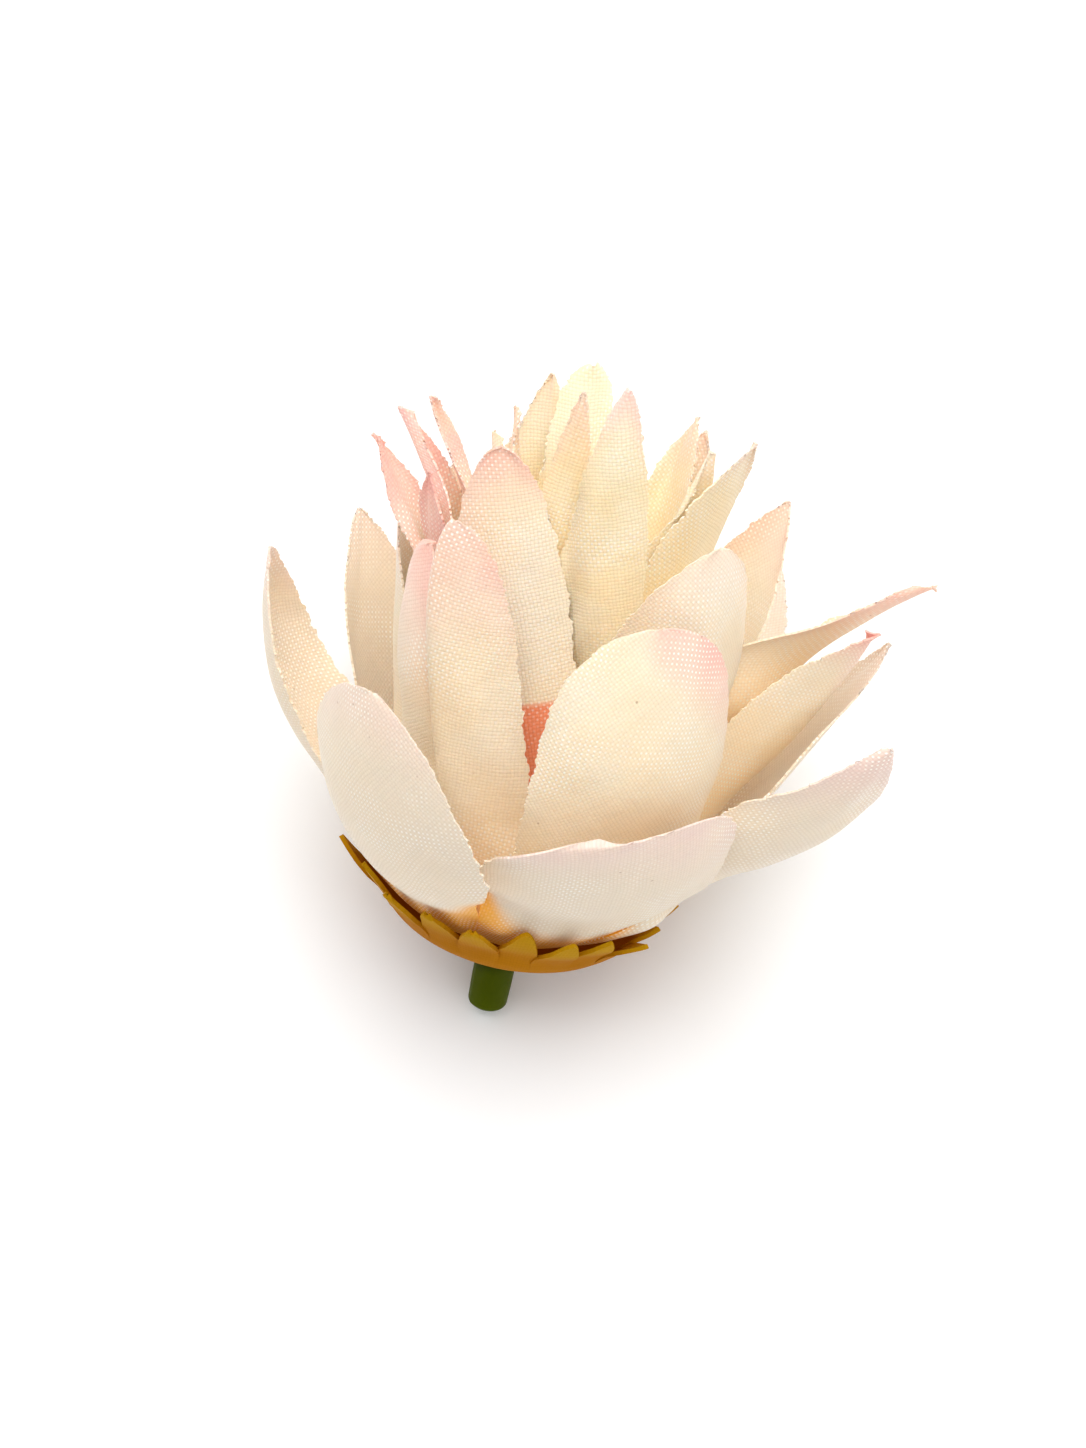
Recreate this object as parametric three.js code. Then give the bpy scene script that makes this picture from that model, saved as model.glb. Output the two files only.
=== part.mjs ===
// An artificial lotus flower head, cut and cupped from woven cloth, lying on its side.
// Millimetres, +Z up. The flower is built in its own frame first: the pin is the z axis, z = 0 is
// where the moulded stub meets the calyx, azimuths are in degrees from +x towards +y.
import * as THREE from "three";

// ---- sizes -------------------------------------------------------------------------------------
const CLOTH = 0.6; // thickness of a stiffened cloth layer
const HOLE_R = 1.7; // hole in the middle of every layer
const PIN_R = 1.1; // moulded pin that carries the layers
const PIN_TOP = 8.6;
const STUB_R = 2.5; // green stub under the flower
const STUB_LENGTH = 10;
const STUB_ROUND = 0.9; // rounding of the stub's end
const CAP_R = 2.3; // button pushed over the pin
const CAP_TOP = 8.3;
const CAP_BOTTOM = 7.0;
const SIDES = 20; // sides of the round plastic pieces

const CALYX_TEETH = 24;
const CALYX_WALL = 0.8;
const CALYX_PROFILE = [
  [HOLE_R, 0.9],
  [7, 1.6],
  [13, 4.1],
  [18.6, 8.0],
]; // radius, height of the cup up to the roots of its teeth
const TOOTH_WAIST = [21.2, 11.0];
const TOOTH_TIP = [22.3, 13.0];
const CALYX_DIP = 1.2;
const CALYX_DIP_TOWARDS = 300;

const PETAL_ROWS = 9; // rows of faces from the disc to the tip
const PETAL_COLUMNS = 4;
const LEAST_R = 1.2; // no petal is pushed closer to the pin's line than this
const NEST_ROW = 2; // rows below this one follow their disc
const SHARE = 0.45; // share of a push that the points beside it take

// Lean of the flower on the surface, from the three points that it rests on.
const LEAN = 46.38; // degrees between the pin and the vertical
const LEAN_TOWARDS = 84; // azimuth of the side that lies down
const SPIN = -9.7; // turn about the vertical, so that the flower leans back towards +y

// ---- petals ------------------------------------------------------------------------------------
// from: azimuth where the petal leaves the disc. tip: radius, azimuth and height of its point.
// half: half of its greatest width. cup: how far the two sides curl in, in degrees. lean: slope of
// the last stretch. blunt: 0 pointed, 1 rounded. twist: turn of the blade about its midrib.
// pull: length of the last stretch. bow: sideways arc of the midrib.
// disc: radius and height of a layer's disc. joined: share of the length where petals are one cloth.
// rise: slope of the first stretch. stretch: its length. gap: radial room kept from what is outside.
const OUTER = {
  disc: [5.0, 2.2],
  joined: 0.42,
  rise: 24,
  stretch: 0.27,
  gap: 1.15,
  petals: [
    { from: 236.6, tip: [32.4, 234.8, 42.6], half: 15.8, cup: 36, lean: 92, blunt: 0.57, twist: -13.6, pull: 0.53 },
    { from: 282, tip: [30.8, 292.7, 32.3], half: 16.6, cup: 25, lean: 78, blunt: 1.37, twist: 23.7, pull: 0.39, bow: 1.9 },
    { from: 328, tip: [40.5, 338.1, 42.9], half: 10.8, cup: 36, lean: 72, twist: -17.6, pull: 0.5, bow: 0.2 },
    { from: 60, tip: [48, 59, 35.5], half: 11, cup: 36, lean: 44 },
    { from: 145, tip: [36, 139, 40], half: 9.5, cup: 42, lean: 66 },
    { from: 184, tip: [35, 177.4, 43.1], half: 9.7, cup: 48, lean: 88.5, blunt: 0.55, twist: -8, pull: 0.51 },
    { from: 13, tip: [38, 13, 44], half: 10, cup: 40, lean: 65, twist: -10 },
    { from: 108, tip: [48, 109, 35.5], half: 11, cup: 36, lean: 44 },
  ],
};
const SECOND = {
  disc: [4.4, 3.25],
  joined: 0.34,
  rise: 24,
  stretch: 0.3,
  gap: 1.15,
  petals: [
    { from: 304, tip: [21.7, 296.5, 53.4], half: 13, cup: 41.6, lean: 113, blunt: 1, twist: -0.6, pull: 0.46 },
    { from: 257, tip: [19.8, 224.4, 58.4], half: 7.8, cup: 39, lean: 95.6, blunt: 0.7, twist: 2.3, pull: 0.41, bow: 2 },
    { from: 331, tip: [34.7, 0.6, 49], half: 10.1, cup: 21, lean: 66, blunt: 0.13, twist: -34.4, pull: 0.51, bow: 0.3 },
    { from: 90, tip: [31, 90, 52], half: 11, cup: 50, lean: 72 },
    { from: 175, tip: [25, 152, 50], half: 9.5, cup: 50, lean: 78 },
    { from: 215, tip: [18.5, 205, 52.1], half: 11.6, cup: 45.5, lean: 106.5, blunt: 0.5, twist: -3.3, pull: 0.45, bow: -2.8 },
    { from: 42, tip: [32.5, 46, 52.5], half: 9, cup: 50, lean: 72 },
    { from: 132, tip: [26, 130, 51], half: 9.5, cup: 50, lean: 78 },
  ],
};
const THIRD = {
  disc: [3.8, 4.3],
  joined: 0.3,
  rise: 28,
  stretch: 0.28,
  gap: 1.15,
  petals: [
    { from: 274, tip: [12.6, 207.9, 64.4], half: 6.5, cup: 33, lean: 96.7, blunt: 0.6, twist: -7, pull: 0.38, bow: 4.6 },
    { from: 316, tip: [16.5, 330, 59], half: 11, cup: 40, lean: 104, blunt: 0.6 },
    { from: 8, tip: [40, 11, 53], half: 9, cup: 38, lean: 42, twist: -14 },
    { from: 170, tip: [26, 168, 59], half: 7, cup: 50, lean: 60 },
    { from: 222, tip: [19, 186, 58], half: 8, cup: 50, lean: 80 },
    { from: 60, tip: [24, 62, 60], half: 9, cup: 50, lean: 80 },
    { from: 116, tip: [24, 112, 58], half: 9, cup: 50, lean: 80 },
  ],
};
const FOURTH = {
  disc: [3.3, 5.35],
  joined: 0.25,
  rise: 36,
  stretch: 0.26,
  gap: 1.4,
  petals: [
    { from: 286, tip: [5.5, 294, 74], half: 6, cup: 30, lean: 97 },
    { from: 340, tip: [18, 24, 65.5], half: 8.5, cup: 40, lean: 70, twist: -20 },
    { from: 180, tip: [24, 168, 62.5], half: 6.6, cup: 50, lean: 58 },
    { from: 226, tip: [20, 164, 65], half: 6.4, cup: 40, lean: 66 },
    { from: 35, tip: [26, 46, 60], half: 7.5, cup: 50, lean: 72 },
    { from: 85, tip: [20, 112, 64], half: 7, cup: 50, lean: 84 },
    { from: 132, tip: [18, 135, 58], half: 7, cup: 50, lean: 80 },
  ],
};
const INNER = {
  disc: [2.9, 6.4],
  joined: 0.2,
  rise: 46,
  stretch: 0.24,
  gap: 1.8,
  petals: [
    { from: 262, tip: [6, 300, 70], half: 3.6, cup: 22, lean: 86 },
    { from: 85, tip: [19, 93, 66.5], half: 6.5, cup: 50, lean: 86, blunt: 0.9 },
    { from: 40, tip: [20, 60, 63], half: 7, cup: 50, lean: 80 },
    { from: 152, tip: [10.5, 163, 67.5], half: 3.6, cup: 30, lean: 85 },
    { from: 330, tip: [17.5, 30, 63.5], half: 7, cup: 50, lean: 80 },
  ],
};

// ---- small maths -------------------------------------------------------------------------------
const rad = (degrees) => (degrees * Math.PI) / 180;
const clamp = (x) => Math.min(1, Math.max(0, x));
const ease = (x) => clamp(x) ** 2 * (3 - 2 * clamp(x));
const mix = (a, b, t) => a + (b - a) * t;

// Point at t on a cubic curve in the (radius, height) plane.
function curveAt([a, b, c, d], t) {
  const s = 1 - t;
  return [0, 1].map(
    (k) => s ** 3 * a[k] + 3 * s * s * t * b[k] + 3 * s * t * t * c[k] + t ** 3 * d[k],
  );
}

// ---- one petal: rows of points from the disc to the tip ------------------------------------------
function midribOf(layer, petal) {
  const [reach, azimuth, height] = petal.tip;
  const turn = rad(azimuth - petal.from);
  const start = layer.disc;
  const end = [reach * Math.cos(turn), height];
  const chord = Math.hypot(end[0] - start[0], end[1] - start[1]);
  const rise = rad(layer.rise);
  const lean = rad(petal.lean);
  const first = [
    start[0] + layer.stretch * chord * Math.cos(rise),
    start[1] + layer.stretch * chord * Math.sin(rise),
  ];
  const pull = (petal.pull ?? 0.4) * chord;
  const last = [end[0] - pull * Math.cos(lean), end[1] - pull * Math.sin(lean)];
  return { curve: [start, first, last, end], sideways: reach * Math.sin(turn) };
}

function widthAt(petal, u) {
  const blunt = petal.blunt ?? 0;
  const widest = 0.55 + 0.07 * blunt;
  if (u < widest) return 0.35 + 0.65 * Math.sin(((Math.PI / 2) * u) / widest);
  const past = ((u - widest) / (1 - widest)) ** (2 + 2 * blunt);
  return Math.max(0, 1 - past) ** (0.85 - 0.4 * blunt);
}

// halfSector: the angle from the petal to half way to its neighbour, on each side.
function petalGrid(layer, petal, halfSector) {
  const { curve, sideways } = midribOf(layer, petal);
  const bow = petal.bow ?? 0;
  const shift = (u) => (sideways + bow * 2.2 * (1 - u)) * ease((u - 0.15) / 0.85);
  const twist = rad(petal.twist ?? 0);
  const cup = rad(petal.cup);
  const azimuth = rad(petal.from);
  const out = new THREE.Vector3(Math.cos(azimuth), Math.sin(azimuth), 0);
  const along = new THREE.Vector3(-Math.sin(azimuth), Math.cos(azimuth), 0);
  const up = new THREE.Vector3(0, 0, 1);
  const grid = [];
  for (let i = 0; i <= PETAL_ROWS; i++) {
    const u = i / PETAL_ROWS;
    const [before, after] = [Math.max(0, u - 1e-3), Math.min(1, u + 1e-3)];
    const [r0, z0] = curveAt(curve, before);
    const [r1, z1] = curveAt(curve, after);
    const tangent = new THREE.Vector3(r1 - r0, shift(after) - shift(before), z1 - z0).normalize();
    const inward = tangent.clone().cross(new THREE.Vector3(0, 1, 0)).normalize();
    const across = inward.clone().cross(tangent);
    const turn = twist * ease((u - 0.6 * layer.joined) / (1 - 0.6 * layer.joined));
    const side = across.clone().multiplyScalar(Math.cos(turn)).addScaledVector(inward, Math.sin(turn));
    const face = inward.clone().multiplyScalar(Math.cos(turn)).addScaledVector(across, -Math.sin(turn));
    const [r, z] = curveAt(curve, u);
    const free = ease((u - 0.75 * layer.joined) / 0.28);
    const width = widthAt(petal, u);
    const row = [];
    for (let j = 0; j <= PETAL_COLUMNS; j++) {
      const s = (2 * j) / PETAL_COLUMNS - 1;
      const sector = halfSector[s < 0 ? 0 : 1];
      const arc = mix(r * sector, petal.half * width, free);
      const angle = mix(sector, cup * width, free) + 1e-4;
      const bend = arc / angle;
      const q = new THREE.Vector3(r, shift(u), z)
        .addScaledVector(side, bend * Math.sin(s * angle))
        .addScaledVector(face, bend * (1 - Math.cos(s * angle)));
      row.push(
        new THREE.Vector3()
          .addScaledVector(out, q.x)
          .addScaledVector(along, q.y)
          .addScaledVector(up, q.z),
      );
    }
    grid.push(row);
  }
  return grid;
}

const byAzimuth = (layer) => [...layer.petals].sort((a, b) => a.from - b.from);

// ---- a layer: petals round one disc, joined side by side up to a third of their length ------------
function layerGrids(layer) {
  const petals = byAzimuth(layer);
  const count = petals.length;
  const gapAfter = petals.map((p, i) => (petals[(i + 1) % count].from - p.from + 360) % 360);
  const grids = petals.map((p, i) =>
    petalGrid(layer, p, [rad(gapAfter[(i + count - 1) % count]) / 2, rad(gapAfter[i]) / 2]),
  );
  const seams = grids.map((grid, i) =>
    grid.map((row, k) => row.at(-1).clone().add(grids[(i + 1) % count][k][0]).multiplyScalar(0.5)),
  );
  return grids.map((grid, i) =>
    grid.map((row, k) => {
      const hold = 1 - ease((k / PETAL_ROWS - layer.joined) / 0.14);
      const right = seams[i][k].clone().sub(row.at(-1));
      const left = seams[(i + count - 1) % count][k].clone().sub(row[0]);
      return row.map((p, j) => {
        const s = (2 * j) / PETAL_COLUMNS - 1;
        return p.clone().addScaledVector(s < 0 ? left : right, hold * Math.abs(s) ** 1.5);
      });
    }),
  );
}

// ---- nesting: each petal is kept inside the ones already placed round it --------------------------
const AZIMUTH_STEPS = 120;
const HEIGHT_STEP = 1.5;
class Room {
  constructor() {
    this.limit = Array.from({ length: 60 }, () => new Array(AZIMUTH_STEPS).fill(Infinity));
  }
  at(p) {
    const turn = Math.atan2(p.y, p.x) / (2 * Math.PI);
    const column = Math.floor((turn - Math.floor(turn)) * AZIMUTH_STEPS) % AZIMUTH_STEPS;
    return [Math.min(59, Math.max(0, Math.floor(p.z / HEIGHT_STEP))), column];
  }
  place(grid, fromRow = 0) {
    const steps = 6;
    for (let k = fromRow; k < grid.length - 1; k++)
      for (let j = 0; j < grid[k].length - 1; j++)
        for (let a = 0; a <= steps; a++)
          for (let b = 0; b <= steps; b++) {
            const p = grid[k][j].clone().lerp(grid[k][j + 1], a / steps);
            p.lerp(grid[k + 1][j].clone().lerp(grid[k + 1][j + 1], a / steps), b / steps);
            const [row, column] = this.at(p);
            const radius = Math.hypot(p.x, p.y);
            for (let dr = -1; dr <= 1; dr++)
              for (let dc = -1; dc <= 1; dc++) {
                const line = this.limit[row + dr];
                const c = (column + dc + AZIMUTH_STEPS) % AZIMUTH_STEPS;
                if (line) line[c] = Math.min(line[c], radius);
              }
          }
  }
  // Moves the rows from firstRow up towards the pin until they clear what is placed. A push is
  // shared with the points beside it, so that the blade bends instead of kinking.
  settle(grid, firstRow, gap) {
    const radii = grid.map((row) => row.map((p) => Math.hypot(p.x, p.y)));
    let push = grid.map((row, k) =>
      row.map((p, j) => {
        const [h, c] = this.at(p);
        const allowed = Math.max(LEAST_R, this.limit[h][c] - gap);
        return k < firstRow ? 0 : Math.max(0, radii[k][j] - allowed);
      }),
    );
    for (let pass = 0; pass < 2; pass++)
      push = push.map((row, k) =>
        row.map((own, j) => {
          const beside = [row[j - 1], row[j + 1], push[k - 1]?.[j], push[k + 1]?.[j]];
          const most = Math.max(...beside.map((x) => x ?? 0));
          return k < firstRow ? 0 : Math.max(own, SHARE * most);
        }),
      );
    return grid.map((row, k) =>
      row.map((p, j) => {
        const target = Math.max(Math.min(LEAST_R, radii[k][j]), radii[k][j] - push[k][j]);
        const scale = target / radii[k][j];
        return new THREE.Vector3(p.x * scale, p.y * scale, p.z);
      }),
    );
  }
}

// ---- surfaces to solids -------------------------------------------------------------------------
class Sheet {
  constructor() {
    this.points = [];
    this.faces = [];
  }
  point(p) {
    return this.points.push(p.clone()) - 1;
  }
  quad(a, b, c, d) {
    this.face(a, b, c);
    this.face(a, c, d);
  }
  face(a, b, c) {
    if (a !== b && b !== c && c !== a) this.faces.push([a, b, c]);
  }
  // Both faces of the sheet, split alike, and a wall along every free edge.
  thicken(thickness) {
    const normals = this.points.map(() => new THREE.Vector3());
    for (const [a, b, c] of this.faces) {
      const [p, q, r] = [a, b, c].map((k) => this.points[k]);
      const n = q.clone().sub(p).cross(r.clone().sub(p));
      for (const k of [a, b, c]) normals[k].add(n);
    }
    const count = this.points.length;
    const positions = [];
    for (const side of [0.5, -0.5])
      this.points.forEach((p, k) => {
        const q = p.clone().addScaledVector(normals[k].normalize(), side * thickness);
        positions.push(q.x, q.y, q.z);
      });
    const index = [];
    const edges = new Map();
    for (const [a, b, c] of this.faces) {
      index.push(a, b, c, count + a, count + c, count + b);
      for (const [from, to] of [[a, b], [b, c], [c, a]]) edges.set(from + "," + to, [from, to]);
    }
    for (const [from, to] of edges.values())
      if (!edges.has(to + "," + from))
        index.push(from, count + from, count + to, from, count + to, to);
    const geometry = new THREE.BufferGeometry();
    geometry.setAttribute("position", new THREE.Float32BufferAttribute(positions, 3));
    geometry.setIndex(index);
    return geometry;
  }
}

const joinedRowsOf = (layer) => Math.floor(layer.joined * PETAL_ROWS) + 1;

function layerSolid(layer, grids) {
  const sheet = new Sheet();
  const count = grids.length;
  const joinedRows = joinedRowsOf(layer);
  const ids = grids.map((grid) => grid.map((row) => row.map(() => -1)));
  grids.forEach((grid, i) =>
    grid.forEach((row, k) =>
      row.forEach((p, j) => {
        const seam = j === 0 && k < joinedRows && i > 0;
        const close = j === PETAL_COLUMNS && k < joinedRows && i === count - 1;
        const tip = k === PETAL_ROWS && j > 0;
        if (seam) ids[i][k][j] = ids[i - 1][k][PETAL_COLUMNS];
        else if (close) ids[i][k][j] = ids[0][k][0];
        else if (tip) ids[i][k][j] = ids[i][k][0];
        else ids[i][k][j] = sheet.point(p);
      }),
    ),
  );
  ids.forEach((rows) => {
    for (let k = 0; k < PETAL_ROWS; k++)
      for (let j = 0; j < PETAL_COLUMNS; j++)
        sheet.quad(rows[k][j], rows[k + 1][j], rows[k + 1][j + 1], rows[k][j + 1]);
  });
  // the disc between the hole and the roots of the petals
  const rim = ids.flatMap((rows) => rows[0].slice(0, PETAL_COLUMNS));
  const hole = rim.map((id) => {
    const p = sheet.points[id];
    const r = Math.hypot(p.x, p.y);
    return sheet.point(new THREE.Vector3((p.x * HOLE_R) / r, (p.y * HOLE_R) / r, layer.disc[1]));
  });
  rim.forEach((id, k) => {
    const next = (k + 1) % rim.length;
    sheet.quad(hole[k], id, rim[next], hole[next]);
  });
  return sheet.thicken(CLOTH);
}

// The cup sits a little askew: lower at the front right.
function calyxPoint(radius, height, azimuth) {
  const dip = CALYX_DIP * (radius / TOOTH_TIP[0]) ** 2 * Math.cos(azimuth - rad(CALYX_DIP_TOWARDS));
  return new THREE.Vector3(radius * Math.cos(azimuth), radius * Math.sin(azimuth), height - dip);
}

function calyxSolid() {
  const sheet = new Sheet();
  const steps = CALYX_TEETH * 2;
  const onRing = (radius, height, step) =>
    sheet.point(calyxPoint(radius, height, (2 * Math.PI * step) / steps));
  const rings = CALYX_PROFILE.map(([r, z]) =>
    Array.from({ length: steps }, (_, k) => onRing(r, z, k)),
  );
  for (let i = 0; i < rings.length - 1; i++)
    for (let k = 0; k < steps; k++) {
      const n = (k + 1) % steps;
      sheet.quad(rings[i][k], rings[i + 1][k], rings[i + 1][n], rings[i][n]);
    }
  const roots = rings.at(-1);
  for (let t = 0; t < CALYX_TEETH; t++) {
    const middle = 2 * t + 1;
    const [left, centre, right] = [roots[2 * t], roots[middle], roots[(2 * t + 2) % steps]];
    const waist = [-0.78, 0, 0.78].map((s) => onRing(...TOOTH_WAIST, middle + s));
    const tip = onRing(...TOOTH_TIP, middle);
    sheet.quad(left, waist[0], waist[1], centre);
    sheet.quad(centre, waist[1], waist[2], right);
    sheet.face(waist[0], tip, waist[1]);
    sheet.face(waist[1], tip, waist[2]);
  }
  return sheet.thicken(CALYX_WALL);
}

// The teeth as one smooth band, for the petals to stay inside.
function calyxLimit() {
  const band = [CALYX_PROFILE.at(-1), TOOTH_WAIST, TOOTH_TIP];
  return band.map(([r, z]) =>
    Array.from({ length: 73 }, (_, k) => {
      return calyxPoint(r, z, (2 * Math.PI * k) / 72);
    }),
  );
}

// A round solid from its outline, listed upwards: [radius, height] pairs, ends on the axis.
function turned(outline) {
  const sheet = new THREE.LatheGeometry(
    outline.map(([r, z]) => new THREE.Vector2(r, z)),
    SIDES,
  );
  return sheet.rotateX(Math.PI / 2);
}

function ringSolid(inner, outer, bottom, top) {
  return turned([
    [inner, bottom],
    [outer, bottom],
    [outer, top - 0.4],
    [outer - 0.4, top],
    [inner, top],
    [inner, bottom],
  ]);
}

// ---- materials ----------------------------------------------------------------------------------
const finish = (color, roughness) =>
  new THREE.MeshStandardMaterial({ color, roughness, metalness: 0, side: THREE.DoubleSide });
const STEM_GREEN = finish(0x76882a, 0.5);
const CALYX_OCHRE = finish(0xcf9a35, 0.75);
const CAP_CREAM = finish(0xe6d59a, 0.5);

// ---- the flower -----------------------------------------------------------------------------------
const flower = new THREE.Group();
flower.name = "flower";

function add(name, geometry, material) {
  const mesh = new THREE.Mesh(geometry, material);
  mesh.name = name;
  flower.add(mesh);
}

add(
  "stem_stub",
  turned([
    [0, -STUB_LENGTH],
    [STUB_R - STUB_ROUND, -STUB_LENGTH],
    [STUB_R, -STUB_LENGTH + STUB_ROUND],
    [STUB_R, 0.2],
    [PIN_R, 0.2],
    [PIN_R, PIN_TOP],
    [0, PIN_TOP],
  ]),
  STEM_GREEN,
);
add("calyx", calyxSolid(), CALYX_OCHRE);

// From the outside in. The petals of a layer are listed outermost first, too.
const room = new Room();
room.place(calyxLimit());
const LAYERS = [
  ["petals_outer", OUTER, 0xf1e6d8],
  ["petals_second", SECOND, 0xf2dfbb],
  ["petals_third", THIRD, 0xf5dfb4],
  ["petals_fourth", FOURTH, 0xf7e2ae],
  ["petals_inner", INNER, 0xf6dc93],
];
for (const [name, layer, color] of LAYERS) {
  const sorted = byAzimuth(layer);
  const grids = layerGrids(layer).map((grid) => room.settle(grid, NEST_ROW, layer.gap));
  const own = new Room();
  const freeRow = joinedRowsOf(layer);
  for (const petal of layer.petals) {
    const i = sorted.indexOf(petal);
    grids[i] = own.settle(grids[i], freeRow + 1, layer.gap);
    own.place(grids[i], freeRow);
  }
  grids.forEach((grid) => room.place(grid));
  add(name, layerSolid(layer, grids), finish(color, 0.7));
}
add("cap", ringSolid(PIN_R + 0.3, CAP_R, CAP_BOTTOM, CAP_TOP), CAP_CREAM);

// ---- laid on the surface --------------------------------------------------------------------------
const down = new THREE.Vector3(
  Math.sin(rad(LEAN)) * Math.cos(rad(LEAN_TOWARDS)),
  Math.sin(rad(LEAN)) * Math.sin(rad(LEAN_TOWARDS)),
  -Math.cos(rad(LEAN)),
);
const laid = new THREE.Quaternion().setFromUnitVectors(down, new THREE.Vector3(0, 0, -1));
const turn = new THREE.Quaternion().setFromAxisAngle(new THREE.Vector3(0, 0, 1), rad(SPIN));
flower.quaternion.copy(turn.multiply(laid));

const lotus = new THREE.Group();
lotus.name = "lotus_flower";
lotus.add(flower);
lotus.updateMatrixWorld(true);
const box = new THREE.Box3().setFromObject(flower, true);
const centre = box.getCenter(new THREE.Vector3());
flower.position.set(-centre.x, -centre.y, -box.min.z);

export default lotus;
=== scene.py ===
"""An artificial lotus flower head: dyed woven petals in layers on a moulded stub.

The flower is shaped in its own frame, in millimetres: the pin is the z axis, z = 0 is where the
stub meets the calyx, and azimuths are in degrees from x towards y. It is then laid on the surface,
leaning back on its open petals, in metres.
"""

import logging
import math
from dataclasses import dataclass, field
from enum import Enum

import bpy
import numpy as np
from mathutils import Matrix, Vector

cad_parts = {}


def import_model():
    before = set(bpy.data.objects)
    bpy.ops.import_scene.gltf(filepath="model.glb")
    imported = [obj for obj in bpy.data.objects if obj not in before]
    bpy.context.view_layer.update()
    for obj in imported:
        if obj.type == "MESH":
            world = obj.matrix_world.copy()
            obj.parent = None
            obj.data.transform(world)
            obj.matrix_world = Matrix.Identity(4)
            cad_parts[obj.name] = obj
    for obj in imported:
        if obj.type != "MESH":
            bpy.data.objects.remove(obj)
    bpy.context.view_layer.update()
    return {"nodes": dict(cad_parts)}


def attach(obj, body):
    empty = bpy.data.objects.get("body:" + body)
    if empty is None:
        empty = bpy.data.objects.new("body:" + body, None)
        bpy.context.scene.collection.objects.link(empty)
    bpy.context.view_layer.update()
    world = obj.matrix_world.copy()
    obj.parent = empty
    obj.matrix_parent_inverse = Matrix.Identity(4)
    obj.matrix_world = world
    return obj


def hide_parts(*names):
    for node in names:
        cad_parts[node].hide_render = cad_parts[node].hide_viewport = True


LOG = logging.getLogger("lotus")
MM = 0.001

# ---- sizes shared with the solids ---------------------------------------------------------------
HOLE_R = 1.7
PIN_R = 1.1
PIN_TOP = 8.6
STUB_R = 2.5
STUB_LENGTH = 10.0
CONTROL_ROWS = 9
CONTROL_COLUMNS = 4
NEST_ROW = 2
LEAST_R = 1.2
SHARE = 0.45

# ---- how the cloth is meshed and cut --------------------------------------------------------------
TIP_CROWDING = 1.25
EDGE_CROWDING = 0.27
LAST_ROW = 0.9995
LUMP_ROWS = 4
LEAST_CUT = 10.0


def ease(x: np.ndarray | float) -> np.ndarray:
    """Smooth step from 0 to 1."""
    t = np.clip(x, 0.0, 1.0)
    return t * t * (3 - 2 * t)


def blend(a: np.ndarray | float, b: np.ndarray | float, t: np.ndarray | float) -> np.ndarray:
    """Straight mix from a to b."""
    return a + (b - a) * t


def resample(values: np.ndarray, at: np.ndarray) -> np.ndarray:
    """Smooth curve through evenly spaced rows.

    Args:
        values: Rows along the first axis.
        at: Places from 0 to 1.

    Returns:
        One row for each place.
    """
    last = len(values) - 1
    x = np.clip(at, 0, 1) * last
    i = np.clip(np.floor(x).astype(int), 0, last - 1)
    f = (x - i).reshape((-1,) + (1,) * (values.ndim - 1))
    p0, p1 = values[np.maximum(i - 1, 0)], values[i]
    p2, p3 = values[i + 1], values[np.minimum(i + 2, last)]
    slope1, slope2 = (p2 - p0) / 2, (p3 - p1) / 2
    rise = p2 - p1
    return p1 + f * (slope1 + f * ((3 * rise - 2 * slope1 - slope2) + f * (slope1 + slope2 - 2 * rise)))


# ---- how the flower lies -------------------------------------------------------------------------
@dataclass(frozen=True)
class Rest:
    """The flower's lean and place on the surface.

    The values repeat those that the part's source works out, so a change there has to be made here.
    """

    lean: float = 46.38
    towards: float = 84.0
    spin: float = -9.7
    spot: tuple[float, float, float] = (-10.505, -25.517, 8.079)

    def turn(self) -> Matrix:
        """Turn from the flower's frame to the row's frame.

        Returns:
            The rotation.
        """
        lean, towards = math.radians(self.lean), math.radians(self.towards)
        down = Vector(
            (
                math.sin(lean) * math.cos(towards),
                math.sin(lean) * math.sin(towards),
                -math.cos(lean),
            )
        )
        laid = down.rotation_difference(Vector((0, 0, -1))).to_matrix()
        return Matrix.Rotation(math.radians(self.spin), 3, "Z") @ laid

    def to_row(self, points: np.ndarray) -> np.ndarray:
        """Row-frame metres of flower-frame millimetres.

        Args:
            points: Array whose last axis is x, y, z.

        Returns:
            Array of the same shape.
        """
        turn = np.array(self.turn())
        return (points @ turn.T + np.array(self.spot)) * MM


REST = Rest()


# ---- cloth -----------------------------------------------------------------------------------------
class Mask(Enum):
    """Channels of the dye attribute. On the stub the deep channel marks painted shade; on the petals the tip,
    deep and ochre channels also place a painted glow.
    """

    TIP = 0
    DEEP = 1
    CORAL = 2
    OCHRE = 3


@dataclass(frozen=True)
class Dye:
    """How far each dye reaches over a blade, as shares of its length. The deep, tip and ochre dyes also set
    where the painted glow goes.
    """

    tip: float = 0.5
    tip_from: float = 0.72
    tip_side: float = 0.0
    deep: float = 0.5
    deep_to: float = 0.75
    coral_to: float = 0.0
    ochre_to: float = 0.0


@dataclass(frozen=True)
class Fold:
    """A crease along a blade. Positive turns fold the edge in towards the pin."""

    at: float
    turn: float
    soft: float = 0.12
    start: float = 0.35
    end: float = 1.2


@dataclass(frozen=True)
class Blade:
    """One petal of a layer."""

    start: float
    tip: tuple[float, float, float]
    half: float
    cup: float
    lean: float
    blunt: float = 0.0
    twist: float = 0.0
    pull: float = 0.4
    bow: float = 0.0
    flick: float = 0.0
    web: float = 0.0
    folds: tuple[Fold, ...] = ()
    dye: Dye = Dye()

    def width(self, u: np.ndarray) -> np.ndarray:
        """Share of the greatest width at each place along the blade.

        Args:
            u: Places along the blade.

        Returns:
            One share for each place.
        """
        widest = 0.55 + 0.07 * self.blunt
        rising = 0.35 + 0.65 * np.sin(np.pi / 2 * np.minimum(u / widest, 1))
        past = np.clip((u - widest) / (1 - widest), 0, 1) ** (2 + 2 * self.blunt)
        return rising * np.maximum(0, 1 - past) ** (0.85 - 0.4 * self.blunt)


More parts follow.
